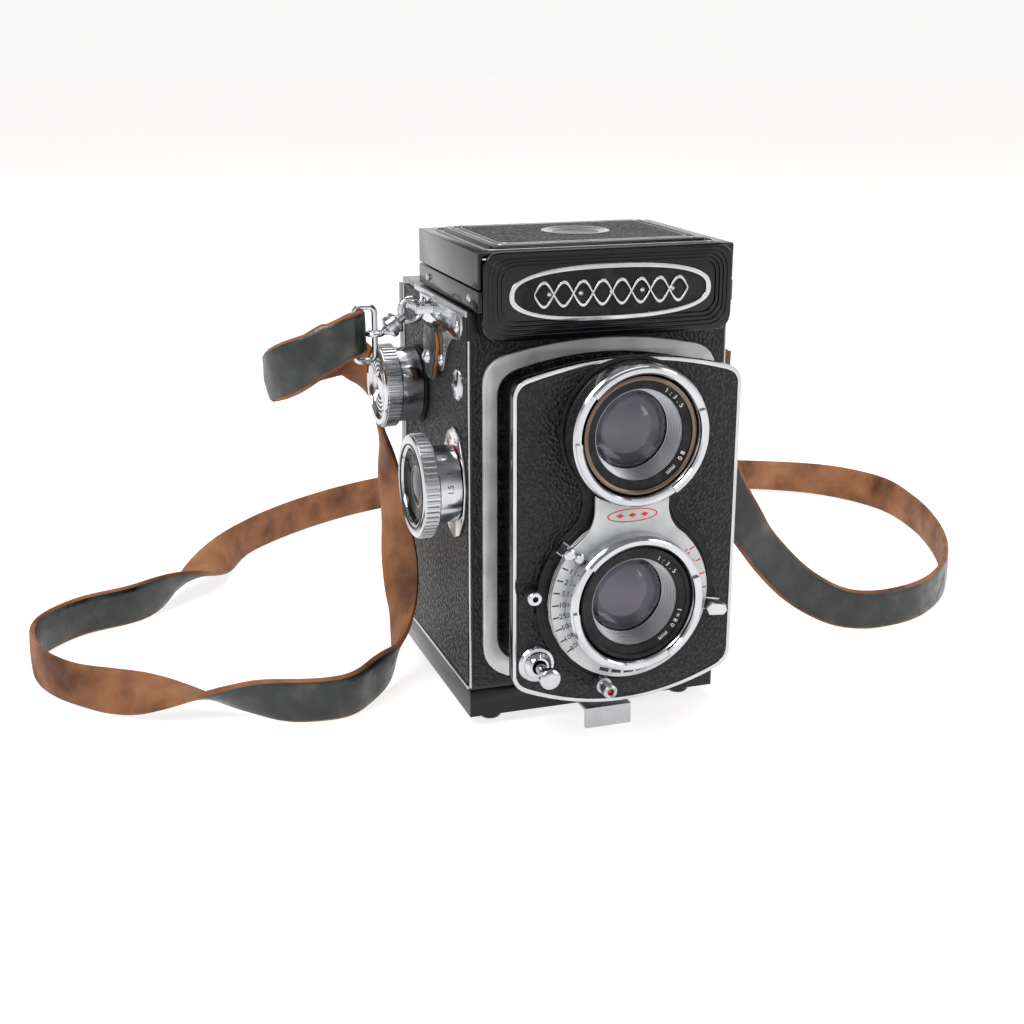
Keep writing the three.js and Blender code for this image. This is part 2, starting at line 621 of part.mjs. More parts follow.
/** The snap hook: its ring goes round the lug's bar, and its eye holds the strap's wire loop. */
function snapHook(label) {
  const { side, tilt, eye, eyeAxis } = strapEnds[label];
  const barrel = turned([[0, 3.8], [1.1, 3.8], [1.3, 5.6], [2.9, 6], [3, 9], [1.6, 9.4], [0.9, 10.4],
    [0, 10.4]], 'x', [0, 0, 0], SMALL_SIDES);
  const hook = wireRing(2.9, 0.8, 'y', [1.2, 0, 0]).add(barrel).rotate([0, tilt, 0]);
  const eyeRing = wireRing(1.9, 0.7, eyeAxis, [eye[0], 0, eye[1]]);
  return piece(`snap_hook_${label}`, atLug(hook.add(eyeRing), side), chrome);
}

/** The wire loop that the strap is folded round. */
function strapRing(label) {
  const { side, eye, loopTurn } = strapEnds[label];
  const { length, depth, wire } = strapLoop;
  const half = length / 2;
  let loop = rod(wire, -half, half, 'z', [0, 0, 0], 8);
  loop = loop.add(rod(wire, -half, half, 'z', [depth, 0, 0], 8));
  for (const z of [-half, half]) {
    loop = loop.add(rod(wire, -wire, depth + wire, 'x', [0, 0, z], 8));
  }
  return piece(`strap_ring_${label}`, atLug(loop.rotate(loopTurn), side, eye), chrome);
}

/** The neck strap's route, from the left ring round the table to the right ring. */
const strapRoute = [
  [-60.5, 3.5, 96], [-66, 7, 92], [-70.5, 12, 88], [-72.5, 19.5, 84.8], [-70, 27, 84], [-64, 32.5, 84.5],
  [-56, 36.5, 86], [-48.5, 38, 86], [-43.3, 37, 80.5], [-41.6, 34, 71.5], [-41.4, 28, 62], [-41.3, 21.5, 51.5],
  [-41.3, 15.5, 40], [-41.5, 11, 28.5], [-42.7, 7, 17.5], [-46.5, 2, 9],
  [-54, -5, 6.2], [-63, -13, 6.1], [-75, -12.5, 6.1], [-88, -6, 6.1], [-104, 1, 6.1], [-119, 8, 6.1],
  [-131, 18.5, 6.1], [-138.5, 34, 6.1], [-138, 54, 6.1], [-126, 68, 6.1], [-107, 76, 6.1],
  [-86, 98, 6.1], [-63, 132, 6.1], [-31, 157, 6.1], [0, 170, 6.1], [36, 176, 6.1], [72, 170, 6.1],
  [105, 157, 6.1], [136, 146, 6.1], [160, 130, 6.1], [171, 108, 6.1], [169, 82, 6.1], [161, 56, 6.1],
  [149, 32, 6.1], [134, 13, 6.1], [118, 2, 6.1], [101, -0.7, 6.2], [90, 0, 8.5], [78, 1.5, 15.5],
  [66, 0, 27], [58, -2, 37], [51.5, -1, 48], [48.2, 1, 58], [46.8, 2, 69], [46, 2, 79], [46, 2, 88],
];

function neckStrap() {
  const curve = new THREE.CatmullRomCurve3(strapRoute.map((point) => new THREE.Vector3(...point)));
  const section = new THREE.Shape();
  section.absarc(0, 0, strapRadius, 0, 2 * Math.PI);
  const geometry = new THREE.ExtrudeGeometry(section,
    { steps: 80, curveSegments: 4, extrudePath: curve, bevelEnabled: false });
  return piece('neck_strap', solid(geometry), strapLeather);
}

// ---------------------------------------------------------------- the whole camera
const camera = new THREE.Group();
camera.add(
  bodyShell(), hingePin(), lightChamber(), ...mirrorAndScreen(), ...filmPath(), faceFrame(),
  backDoor(), ...tripodFitting(), ...pressureParts(), doorLatch(),
  ...lensUnit(),
  focusKnob(), focusIndexPlate(), ...advanceKnob(), takeUpSpool(),
  spoolKnob('spool_knob_upper', spoolAxis), spoolKnob('spool_knob_lower', supplyAxis),
  hoodBase(), namePlate(), hoodLid(), ...magnifier(),
  hoodSide('hood_side_left', -1), hoodSide('hood_side_right', 1), hoodBack(),
);
for (const label of ['left', 'right']) {
  camera.add(lugPlate(`lug_plate_${label}`, strapEnds[label].side), snapHook(label), strapRing(label));
}
camera.add(neckStrap());

export default camera;
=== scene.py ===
# %% [markdown]
# # A twin lens reflex camera
#
# The camera's working parts come in as a fixed frame, in metres: +Z is up, the lenses look
# along -Y and the winding knobs are on the -X side. This lesson dresses that frame. Sizes are
# written in millimetres, as a camera maker would, and every mesh is scaled to metres once.

# %% The frame
import math

import bmesh
import bpy
from mathutils import Matrix, Vector


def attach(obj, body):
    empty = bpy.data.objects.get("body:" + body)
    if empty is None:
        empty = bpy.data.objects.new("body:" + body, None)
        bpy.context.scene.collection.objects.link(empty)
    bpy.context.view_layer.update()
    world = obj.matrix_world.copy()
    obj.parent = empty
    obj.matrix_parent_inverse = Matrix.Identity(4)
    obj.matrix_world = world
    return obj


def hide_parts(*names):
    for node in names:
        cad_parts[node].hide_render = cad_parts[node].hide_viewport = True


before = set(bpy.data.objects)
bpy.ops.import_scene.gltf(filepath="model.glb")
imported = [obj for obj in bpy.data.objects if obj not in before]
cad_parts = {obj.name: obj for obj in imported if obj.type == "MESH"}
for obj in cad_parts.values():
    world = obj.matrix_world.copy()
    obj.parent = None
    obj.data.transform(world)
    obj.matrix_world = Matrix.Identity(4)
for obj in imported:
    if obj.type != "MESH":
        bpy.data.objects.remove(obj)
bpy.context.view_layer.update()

MM = 0.001
ROUND, LENS_ROUND = 96, 128    # facets of a large turned piece, and of a lens mount
WELD_MM, WELD_M = 1e-5, 1e-6   # points nearer than this are one point

# %% [markdown]
# ## The view
#
# The camera that looks at the object stands a little to its left and above it, with a medium
# long lens, so that the front, the knobs and the hood's top are all seen.

# %% The viewpoint
VIEW_PLACE = (-143.25, -383.52, 172.85)
VIEW_TURN, VIEW_TILT, VIEW_ROLL = 18.78, 17.15, 0.16      # degrees
VIEW_LENS = 54.75


def set_view():
    data = bpy.data.cameras.new("view_camera")
    data.lens = VIEW_LENS
    data.sensor_width = 36
    data.clip_start = 0.01
    seer = bpy.data.objects.new("view_camera", data)
    turn = Matrix.Rotation(math.radians(-VIEW_TURN), 4, "Z")
    tilt = Matrix.Rotation(math.radians(90 - VIEW_TILT), 4, "X")
    roll = Matrix.Rotation(math.radians(VIEW_ROLL), 4, "Z")
    seer.matrix_world = Matrix.Translation(Vector(VIEW_PLACE) * MM) @ turn @ tilt @ roll
    bpy.context.scene.collection.objects.link(seer)
    bpy.context.scene.camera = seer


set_view()
print("view from", VIEW_PLACE)

# %% [markdown]
# ## Finishes
#
# Old enamel, worn plate and leather are never one flat value. Each finish is a small tree of
# noises read from object coordinates, so a pattern has its real size on every piece. Steady
# values sit on the shader's own sockets.

# %% Shader helpers


def feed(tree, socket, value):
    """Sets an input, or links it where the value is another node's output."""
    if isinstance(value, bpy.types.NodeSocket):
        tree.links.new(value, socket)
    else:
        socket.default_value = value


def add_node(tree, kind, output=0, **inputs):
    """Adds a node, feeds its inputs by name and gives one of its outputs."""
    node = tree.nodes.new(kind)
    for name, value in inputs.items():
        feed(tree, node.inputs[name], value)
    return node.outputs[output]


def add_ramp(tree, source, *stops):
    """Adds a colour ramp: each stop is a place with a colour or a grey level."""
    color = add_node(tree, "ShaderNodeValToRGB", "Color", Fac=source)
    elements = color.node.color_ramp.elements
    while len(elements) < len(stops):
        elements.new(0.5)
    for element, (place, shade) in zip(elements, stops):
        element.position = place
        element.color = (*(shade if isinstance(shade, tuple) else (shade, shade, shade)), 1)
    return color


class Finish:
    """A material with one shader, and short ways to add textures to it."""

    def __init__(self, name, color, roughness, metallic=0.0, **steady):
        self.material = bpy.data.materials.new(name)
        self.material.use_nodes = True
        self.tree = self.material.node_tree
        self.shader = self.tree.nodes["Principled BSDF"]
        self.coords = add_node(self.tree, "ShaderNodeTexCoord", "Object")
        self.set("Base Color", (*color, 1))
        self.set("Roughness", roughness)
        self.set("Metallic", metallic)
        for socket, value in steady.items():
            self.set(socket.replace("_", " "), value)

    def set(self, socket, value):
        feed(self.tree, self.shader.inputs[socket], value)

    def noise(self, scale, detail=4, stretch=(1, 1, 1)):
        place = add_node(self.tree, "ShaderNodeMapping", "Vector", Vector=self.coords, Scale=stretch)
        return add_node(self.tree, "ShaderNodeTexNoise", "Fac", Vector=place, Scale=scale, Detail=detail)

    def cells(self, scale, feature="SMOOTH_F1", smoothness=0.35):
        distance = add_node(self.tree, "ShaderNodeTexVoronoi", "Distance", Vector=self.coords, Scale=scale)
        distance.node.feature = feature
        if feature == "SMOOTH_F1":
            distance.node.inputs["Smoothness"].default_value = smoothness
        return distance

    def vary(self, socket, source, *stops):
        self.set(socket, add_ramp(self.tree, source, *stops))

    def bump(self, source, strength, distance_mm):
        normal = self.shader.inputs["Normal"]
        under = {"Normal": normal.links[0].from_socket} if normal.is_linked else {}
        self.set("Normal", add_node(self.tree, "ShaderNodeBump", "Normal", Height=source, Strength=strength,
                                    Distance=distance_mm * MM, **under))


# %% Metals and enamels


def black_enamel():
    finish = Finish("black_enamel", (0.004, 0.004, 0.005), 0.16, Specular_IOR_Level=0.3, Coat_Weight=0.15,
                    Coat_Roughness=0.05)
    finish.vary("Base Color", finish.noise(210, 8), (0.68, (0.003, 0.003, 0.004)),
                (0.73, (0.016, 0.015, 0.015)), (0.78, (0.10, 0.09, 0.08)))
    finish.vary("Roughness", finish.noise(60), (0.3, 0.10), (0.7, 0.26))
    finish.bump(finish.noise(900, 2), 0.15, 0.02)
    return finish.material


def plate(name, color, smooth, rough, stretch=(1, 1, 1)):
    finish = Finish(name, color, smooth, 1.0)
    worn = tuple(0.78 * part for part in color)
    finish.vary("Base Color", finish.noise(120, 6), (0.35, color), (0.75, worn))
    finish.vary("Roughness", finish.noise(170, 5, stretch), (0.35, smooth), (0.7, rough))
    finish.bump(finish.noise(700, 3, stretch), 0.12, 0.02)
    return finish.material


def grey_lacquer():
    finish = Finish("grey_lacquer", (0.56, 0.57, 0.58), 0.38, 0.35)
    finish.vary("Base Color", finish.noise(150, 8), (0.3, (0.43, 0.44, 0.45)), (0.7, (0.62, 0.63, 0.64)))
    finish.vary("Roughness", finish.noise(300, 4), (0.3, 0.3), (0.7, 0.5))
    finish.bump(finish.noise(2600, 2), 0.2, 0.02)
    return finish.material


def matt_black():
    finish = Finish("matt_black", (0.005, 0.005, 0.006), 0.45, Specular_IOR_Level=0.25)
    finish.vary("Base Color", finish.noise(260, 6), (0.45, (0.004, 0.004, 0.005)),
                (0.78, (0.022, 0.021, 0.021)))
    finish.vary("Roughness", finish.noise(120), (0.3, 0.30), (0.7, 0.55))
    finish.bump(finish.noise(1800, 2), 0.2, 0.02)
    return finish.material


def ink(name, color):
    finish = Finish(name, color, 0.5)
    faded = tuple(min(1.0, part * 1.5 + 0.02) for part in color)
    finish.vary("Base Color", finish.noise(900, 4), (0.45, color), (0.75, faded))
    finish.bump(finish.noise(1500, 2), 0.1, 0.01)
    return finish.material


ENAMEL = black_enamel()
CHROME = plate("polished_chrome", (0.62, 0.63, 0.66), 0.08, 0.24)
SATIN = plate("satin_chrome", (0.52, 0.53, 0.55), 0.22, 0.40, (1, 1, 6))
BARREL = plate("barrel_grey", (0.40, 0.41, 0.43), 0.3, 0.5)
WORN_RING = plate("worn_bronze", (0.20, 0.145, 0.115), 0.3, 0.5)
DARK_CAST = plate("dark_cast", (0.10, 0.10, 0.11), 0.4, 0.65)
GREY = grey_lacquer()
MATT = matt_black()
BLACK_INK = ink("black_ink", (0.01, 0.01, 0.01))
RED_INK = ink("red_ink", (0.55, 0.03, 0.03))
WHITE_INK = ink("white_ink", (0.66, 0.66, 0.64))
print("metals and enamels ready")

# %% Leathers and glass


def body_leather():
    """Pressed pebble grain: soft domes about half a millimetre across, shiny on top.
    Their colour is painted lighter on the tops and darker in the creases, as highlight and shade.
    """
    finish = Finish("pebbled_leather", (0.006, 0.006, 0.007), 0.35, Specular_IOR_Level=0.42)
    grain = finish.cells(1150, smoothness=0.5)
    # painted highlight and shade: the colour is lighter on the domes' tops and darker in the creases between them
    finish.vary("Base Color", grain, (0.1, (0.010, 0.010, 0.012)), (0.6, (0.002, 0.002, 0.003)))
    finish.vary("Roughness", grain, (0.1, 0.20), (0.6, 0.62))
    finish.bump(add_ramp(finish.tree, grain, (0.0, 1.0), (0.7, 0.0)), 1.0, 0.30)
    finish.bump(finish.noise(520, 4), 0.5, 0.22)
    finish.bump(finish.noise(3400, 3), 0.2, 0.03)
    return finish.material


def strap_outside():
    finish = Finish("strap_black", (0.012, 0.016, 0.015), 0.35, Specular_IOR_Level=0.6)
    wear = finish.noise(150, 10)
    finish.vary("Base Color", wear, (0.42, (0.005, 0.008, 0.007)), (0.60, (0.018, 0.024, 0.022)),
                (0.74, (0.07, 0.05, 0.03)))
    finish.vary("Roughness", finish.noise(220, 6), (0.35, 0.20), (0.7, 0.5))
    finish.bump(finish.cells(430, "DISTANCE_TO_EDGE"), 0.35, 0.12)
    finish.bump(finish.noise(620, 6), 0.5, 0.14)
    return finish.material


def strap_inside():
    finish = Finish("strap_tan", (0.26, 0.10, 0.04), 0.62, Specular_IOR_Level=0.3)
    tone = finish.noise(70, 8)
    finish.vary("Base Color", tone, (0.32, (0.09, 0.03, 0.013)), (0.52, (0.24, 0.095, 0.038)),
                (0.75, (0.36, 0.17, 0.08)))
    finish.vary("Roughness", finish.noise(300, 5), (0.3, 0.5), (0.7, 0.8))
    finish.bump(finish.noise(1300, 6), 0.5, 0.1)
    return finish.material


def coated_glass():
    finish = Finish("coated_glass", (0.95, 0.96, 0.97), 0.01, Transmission_Weight=1.0, IOR=1.4,
                    Coat_Weight=0.3, Coat_Roughness=0.01, Coat_Tint=(0.93, 0.9, 1.0, 1))
    finish.vary("Roughness", finish.noise(40, 2), (0.6, 0.0), (0.9, 0.012))
    return finish.material


def painted_lens_shade():
    """A dark disc painted as the lens's shaded inside: slate blue, with violet patches painted as the coating's
    reflection.
    """
    finish = Finish("painted_lens_shade", (0.02, 0.022, 0.03), 0.08, Specular_IOR_Level=0.5, Coat_Weight=0.25,
                    Coat_Roughness=0.03, Coat_Tint=(0.9, 0.86, 1.0, 1))
    finish.vary("Base Color", finish.noise(45, 1), (0.35, (0.004, 0.006, 0.010)),
                (0.60, (0.016, 0.018, 0.028)), (0.74, (0.045, 0.028, 0.052)))
    finish.vary("Roughness", finish.noise(60, 1), (0.4, 0.04), (0.7, 0.09))
    return finish.material


def plain_glass(name, color, roughness):
    finish = Finish(name, color, roughness, Transmission_Weight=0.7)
    finish.vary("Roughness", finish.noise(400, 4), (0.3, roughness), (0.7, roughness + 0.12))
    return finish.material


LEATHER = body_leather()
STRAP_OUT = strap_outside()
STRAP_IN = strap_inside()
GLASS = coated_glass()
# painted shade and painted reflection standing for the inside of the lenses
DEPTH = painted_lens_shade()
SCREEN = plain_glass("ground_glass", (0.75, 0.77, 0.76), 0.5)
RED_WINDOW = plain_glass("red_glass", (0.35, 0.01, 0.01), 0.06)
MIRROR = plate("mirror_silver", (0.86, 0.88, 0.89), 0.02, 0.06)
print("leathers and glasses ready")

# %% [markdown]
# ## Making pieces
#
# Turned pieces are a profile spun round an axis. Flat pieces are outlines with holes, given
# thickness and a small rounded edge. A working part whose shape is already right is copied,
# merged and given a softened edge, because a real edge always catches a line of light.

# %% Mesh helpers
FRONT = Matrix(((1, 0, 0), (0, 0, -1), (0, 1, 0))).to_4x4()        # outline x, z; thickness to -Y
LEFT = Matrix(((0, 0, -1), (-1, 0, 0), (0, 1, 0))).to_4x4()        # outline -y, z; thickness to -X
RIGHT = Matrix(((0, 0, 1), (1, 0, 0), (0, 1, 0))).to_4x4()         # outline y, z; thickness to +X
BACK = Matrix(((-1, 0, 0), (0, 0, 1), (0, 1, 0))).to_4x4()         # outline -x, z; thickness to +Y
TOP = Matrix.Identity(4)
SIDES = (("left", -1, LEFT), ("right", 1, RIGHT))


def as_bmesh(mesh):
    bm = bmesh.new()
    bm.from_mesh(mesh)
    return bm


def as_mesh(bm):
    mesh = bpy.data.meshes.new("work")
    bm.to_mesh(mesh)
    bm.free()
    return mesh


def painted(mesh, material):
    mesh.materials.clear()
    mesh.materials.append(material)
    return mesh


def keep(name, mesh, body, material, replaces=(), smooth=35):
    """Names a mesh as a piece in millimetres, scales it to metres and fastens it to its body."""
    mesh.transform(Matrix.Scale(MM, 4))
    return keep_metres(name, mesh, body, material, replaces, smooth)


def keep_metres(name, mesh, body, material, replaces, smooth=35):
    if not len(mesh.materials):
        mesh.materials.append(material)
    mesh.shade_smooth()
    mesh.set_sharp_from_angle(angle=math.radians(smooth))
    mesh.name = name
    piece = bpy.data.objects.new(name, mesh)
    bpy.context.scene.collection.objects.link(piece)
    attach(piece, body)
    if replaces:
        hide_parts(*replaces)
    return piece


def closed(bm):
    """The mesh of a shell whose doubles are merged and whose faces point outwards."""
    bmesh.ops.remove_doubles(bm, verts=bm.verts, dist=WELD_MM)
    bmesh.ops.recalc_face_normals(bm, faces=bm.faces)
    return as_mesh(bm)


def evaluated(data, modify=None):
    """A plain mesh of a curve, text or mesh after its modifiers, with no object left behind."""
    holder = bpy.data.objects.new("work", data)
    bpy.context.scene.collection.objects.link(holder)
    if modify:
        modify(holder)
    graph = bpy.context.evaluated_depsgraph_get()
    mesh = bpy.data.meshes.new_from_object(holder.evaluated_get(graph))
    bpy.data.objects.remove(holder)
    return mesh


def turned(profile, axis, place, sides=ROUND, start=0, sweep=360):
    """A profile of (radius, distance) spun round an axis; part of a turn is closed at its ends."""
    bm = bmesh.new()
    whole = sweep >= 360
    count = sides if whole else max(3, int(sides * sweep / 360) + 1)
    rows = []
    for i in range(count):
        angle = math.radians(start + sweep * i / (count if whole else count - 1))
        rows.append([bm.verts.new(on_axis(axis, r, along, angle)) for r, along in profile])
    pairs = [(i, (i + 1) % count) for i in range(count if whole else count - 1)]
    for i, j in pairs:
        for k in range(len(profile) - 1):
            bm.faces.new((rows[i][k], rows[j][k], rows[j][k + 1], rows[i][k + 1]))
    if not whole:
        last = -1 if profile[0] == profile[-1] else None
        bm.faces.new(rows[0][:last])
        bm.faces.new(rows[-1][:last])
    bmesh.ops.remove_doubles(bm, verts=bm.verts, dist=WELD_MM)
    bmesh.ops.dissolve_degenerate(bm, dist=1e-6, edges=bm.edges)
    mesh = closed(bm)
    mesh.transform(Matrix.Translation(place))
    return mesh


def on_axis(axis, radius, along, angle):
    """A point round an axis; on Y the angle is read as in front view, from +X towards +Z."""
    u, v = radius * math.cos(angle), radius * math.sin(angle)
    return {"x": (along, u, v), "y": (u, along, v), "z": (u, v, along)}[axis]


def outline_spline(curve, points):
    """A closed run of straight steps through points, added to a curve."""
    spline = curve.splines.new("POLY")
    spline.points.add(len(points) - 1)
    for point, place in zip(spline.points, points):
        point.co = (*place, 1)
    spline.use_cyclic_u = True


def flat(loops, thick, edge, facing, place=(0, 0, 0)):
    """Outlines (the later ones are holes) given thickness with rounded edges."""
    curve = bpy.data.curves.new("work", "CURVE")
    curve.dimensions = "2D"
    curve.fill_mode = "BOTH"
    curve.extrude = thick / 2 - edge
    curve.bevel_depth = edge
    curve.bevel_resolution = 2
    curve.offset = -edge
    for loop in loops:
        outline_spline(curve, [(u, v, 0) for u, v in loop])
    mesh = closed(as_bmesh(evaluated(curve)))
    mesh.transform(Matrix.Translation(place) @ facing @ Matrix.Translation((0, 0, thick / 2)))
    return mesh


def joined(*meshes):
    bm = bmesh.new()
    for mesh in meshes:
        bm.from_mesh(mesh)
    return as_mesh(bm)


def joined_painted(meshes, material):
    return painted(joined(*meshes), material)


def moved(mesh, facing, place):
    mesh.transform(Matrix.Translation(place) @ facing)
    return mesh


def softened(node, name, body, material, edge):
    """A working part copied, merged and given a rounded edge; it stands for that part."""
    bm = as_bmesh(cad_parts[node].data)
    bmesh.ops.remove_doubles(bm, verts=bm.verts, dist=WELD_M)
    bmesh.ops.dissolve_limit(bm, angle_limit=math.radians(1), verts=bm.verts, edges=bm.edges)
    mesh = as_mesh(bm)
    mesh.materials.clear()

    def round_edges(holder):
        bevel = holder.modifiers.new("edge", "BEVEL")
        bevel.width = edge * MM
        bevel.segments = 3
        bevel.limit_method = "ANGLE"
        bevel.angle_limit = math.radians(40)

    return keep_metres(name, evaluated(mesh, round_edges), body, material, (node,))


def coat(node, material):
    """A working part that stays as it is, with a better finish."""
    painted(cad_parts[node].data, material)


# %% Outlines


def circle(radius, centre=(0, 0), count=ROUND, squeeze=1.0, power=2.0):
    points = []
    for i in range(count):
        angle = 2 * math.pi * i / count
        c, s = math.cos(angle), math.sin(angle)
        u = math.copysign(abs(c) ** (2 / power), c)
        v = math.copysign(abs(s) ** (2 / power), s)
        points.append((centre[0] + radius * u, centre[1] + radius * squeeze * v))
    return points


def arc(centre, radius, start, end, count=24):
    angles = [math.radians(start + (end - start) * i / count) for i in range(count + 1)]
    return [(centre[0] + radius * math.cos(a), centre[1] + radius * math.sin(a)) for a in angles]


def rounded(low, high, radius, steps=8):
    """A rectangle between two corners, its own corners turned to a radius."""
    (left, under), (right, over) = low, high
    points = []
    for u, v, start in ((right - radius, over - radius, 0), (left + radius, over - radius, 90),
                        (left + radius, under + radius, 180), (right - radius, under + radius, 270)):
        points += arc((u, v), radius, start, start + 90, steps)
    return points


BOARD = {"half": 29.4, "top": 94.8, "rise": 4.6, "low": 18.3, "drop": 7.0}


def shield(inset, corner):
    """The lens board's outline: straight sides, bowed top and bottom, rounded corners."""
    half, top, low = BOARD["half"] - inset, BOARD["top"] - inset, BOARD["low"] + inset
    reach = half - corner

    def bow(x):
        return 1 - (x / half) ** 2

    def rounding(start, control, end, steps=6):
        ts = [i / steps for i in range(steps)]
        return [tuple((1 - t) ** 2 * a + 2 * t * (1 - t) * b + t * t * c
                      for a, b, c in zip(start, control, end)) for t in ts]

    across = [-reach + 2 * reach * i / 16 for i in range(16)]
    top_edge = [(x, top + BOARD["rise"] * bow(x)) for x in across]
    low_edge = [(-x, low - BOARD["drop"] * bow(x)) for x in across]
    top_end, low_end = top + BOARD["rise"] * bow(reach), low - BOARD["drop"] * bow(reach)
    return (rounding((-half, top - corner), (-half, top), (-reach, top_end)) + top_edge
            + rounding((reach, top_end), (half, top), (half, top - corner))
            + rounding((half, low + corner), (half, low), (reach, low_end)) + low_edge
            + rounding((-reach, low_end), (-half, low), (-half, low + corner)))


print("helpers ready")

# %% [markdown]
# ## The neck strap
#
# A strap is a fixed length of leather, 12 mm wide. It hangs from the wire loop on each side,
# and on the table it stands on its edge. It is swept along one smooth route, and at chosen
# points of the route it turns over, as a leather band does when it is laid down by hand. The
# grain side is black and worn, and the flesh side and the cut edges are tan.

# %% The strap's route
STRAP_WIDTH, STRAP_THICK = 12.0, 2.2
STRAP_SMOOTH = 50              # degrees below which an edge of the band is shaded smooth
strap_route = [
    (-60.5, 3.5, 96), (-66, 7, 92), (-70.5, 12, 88), (-72.5, 19.5, 84.8), (-70, 27, 84), (-64, 32.5, 84.5),
    (-56, 36.5, 86), (-48.5, 38, 86), (-43.3, 37, 80.5), (-41.6, 34, 71.5), (-41.4, 28, 62), (-41.3, 21.5, 51.5),
    (-41.3, 15.5, 40), (-41.5, 11, 28.5), (-42.7, 7, 17.5), (-46.5, 2, 9),
    (-54, -5, 6.2), (-63, -13, 6.1), (-75, -12.5, 6.1), (-88, -6, 6.1), (-104, 1, 6.1), (-119, 8, 6.1),
    (-131, 18.5, 6.1), (-138.5, 34, 6.1), (-138, 54, 6.1), (-126, 68, 6.1), (-107, 76, 6.1),
    (-86, 98, 6.1), (-63, 132, 6.1), (-31, 157, 6.1), (0, 170, 6.1), (36, 176, 6.1), (72, 170, 6.1),
    (105, 157, 6.1), (136, 146, 6.1), (160, 130, 6.1), (171, 108, 6.1), (169, 82, 6.1), (161, 56, 6.1),
    (149, 32, 6.1), (134, 13, 6.1), (118, 2, 6.1), (101, -0.7, 6.2), (90, 0, 8.5), (78, 1.5, 15.5),
    (66, 0, 27), (58, -2, 37), (51.5, -1, 48), (48.2, 1, 58), (46.8, 2, 69), (46, 2, 79), (46, 2, 88),
]


def smooth_route(points, per_span):
    """A curve through every point (centripetal Catmull-Rom)."""
    points = [Vector(p) for p in points]
    points = [2 * points[0] - points[1]] + points + [2 * points[-1] - points[-2]]
    line = []
    for a, b, c, d in zip(points, points[1:], points[2:], points[3:]):
        t1 = math.sqrt((b - a).length)
        t2 = t1 + math.sqrt((c - b).length)
        t3 = t2 + math.sqrt((d - c).length)
        for i in range(per_span):
            t = t1 + (t2 - t1) * i / per_span
            ab = a.lerp(b, t / t1)
            bc = b.lerp(c, (t - t1) / (t2 - t1))
            cd = c.lerp(d, (t - t2) / (t3 - t2))
            line.append(ab.lerp(bc, t / t2).lerp(bc.lerp(cd, (t - t1) / (t3 - t1)), (t - t1) / (t2 - t1)))
    return line + [points[-2]]


# (route point, degrees turned over from standing upright with the grain side to the right)
strap_turns = [(0, 180), (6, 180), (9, 205), (11, 165), (13, 135), (14, 140), (16, 180), (18, 180),
               (22, 0), (26, 0), (28, 180), (32, 180), (34, 140), (37, 180), (52, 180)]


def strap_turn(place):
    """How far the strap has turned over at a place counted in route points, eased between stops."""
    for (a, low), (b, high) in zip(strap_turns, strap_turns[1:]):
        if place <= b:
            t = (place - a) / (b - a)
            return low + (high - low) * t * t * (3 - 2 * t)
    return strap_turns[-1][1]


def ahead_at(line, i):
    """The direction in which a line runs at its point i."""
    return (line[min(i + 1, len(line) - 1)] - line[max(i - 1, 0)]).normalized()


def strap_sides(line, per_span):
    """The direction of the strap's width at each place along the line."""
    aheads = [ahead_at(line, i) for i in range(len(line))]
    sides = [(Vector((0, 0, 1)) - ahead * ahead.z).normalized() for ahead in aheads]
    for _ in range(6):
        sides = [(sides[max(i - 1, 0)] + 2 * sides[i] + sides[min(i + 1, len(sides) - 1)]).normalized()
                 for i in range(len(sides))]
    return [Matrix.Rotation(math.radians(strap_turn(i / per_span)), 3, ahead) @ side
            for i, (ahead, side) in enumerate(zip(aheads, sides))]


def strap_section():
    """Half-round edges and a slightly domed grain side: (across, out of the grain side)."""
    half, thick = STRAP_WIDTH / 2, STRAP_THICK / 2
    dome = [(half * x, thick * (1 - 0.25 * x * x)) for x in (-0.9, -0.6, -0.3, 0, 0.3, 0.6, 0.9)]
    flesh = [(-u, -v * 0.85) for u, v in dome]
    return (dome + [(half, thick * 0.3), (half, -thick * 0.3)]
            + flesh + [(-half, -thick * 0.3), (-half, thick * 0.3)])


def band(line, sides, widths=None):
    """A leather band swept along a line; its grain side looks along ahead x side."""
    section = strap_section()
    count, grain_faces = len(section), 6
    bm = bmesh.new()
    rows = []
    for i, (place, side) in enumerate(zip(line, sides)):
        ahead = ahead_at(line, i)
        side = (side - ahead * side.dot(ahead)).normalized()
        out = ahead.cross(side)
        width = widths[i] if widths else 1.0
        rows.append([bm.verts.new(place + side * (u * width) + out * v) for u, v in section])
    for a, b in zip(rows, rows[1:]):
        for k in range(count):
            face = bm.faces.new((a[k], a[(k + 1) % count], b[(k + 1) % count], b[k]))
            face.material_index = 0 if k < grain_faces else 1
    for end in (rows[0], rows[-1]):
        bm.faces.new(end).material_index = 1
    mesh = closed(bm)
    mesh.materials.append(STRAP_OUT)
    mesh.materials.append(STRAP_IN)
    return mesh


def neck_strap():
    steps = 8                  # along each span of the route
    line = smooth_route(strap_route, steps)
    sides = strap_sides(line, steps)
    piece = keep("leather_neck_strap", band(line, sides), "camera_body", STRAP_OUT, ("neck_strap",),
                 smooth=STRAP_SMOOTH)
    length = sum((b - a).length for a, b in zip(line, line[1:]))
    print("strap length", round(length), "mm")
    return piece, line, sides, length


# %% The fittings at the strap's ends
LUG_BAR = (38.8, 2, 105)
LOOP_LENGTH, LOOP_DEPTH, LOOP_WIRE = 14, 5.3, 0.8
STRAP_ENDS = {                 # eye: its place from the lug's bar, across and up
    "left": {"side": -1, "tilt": 36, "eye": (10.7, -6.3), "eye_axis": "z",
             "loop_up": Vector((0, 0, 1)), "loop_out": Vector((1, 0, 0))},
    "right": {"side": 1, "tilt": 55, "eye": (7.2, -10.3), "eye_axis": "y",
              "loop_up": Vector((0, 1, 0)), "loop_out": Vector((0, 0, -1))},
}


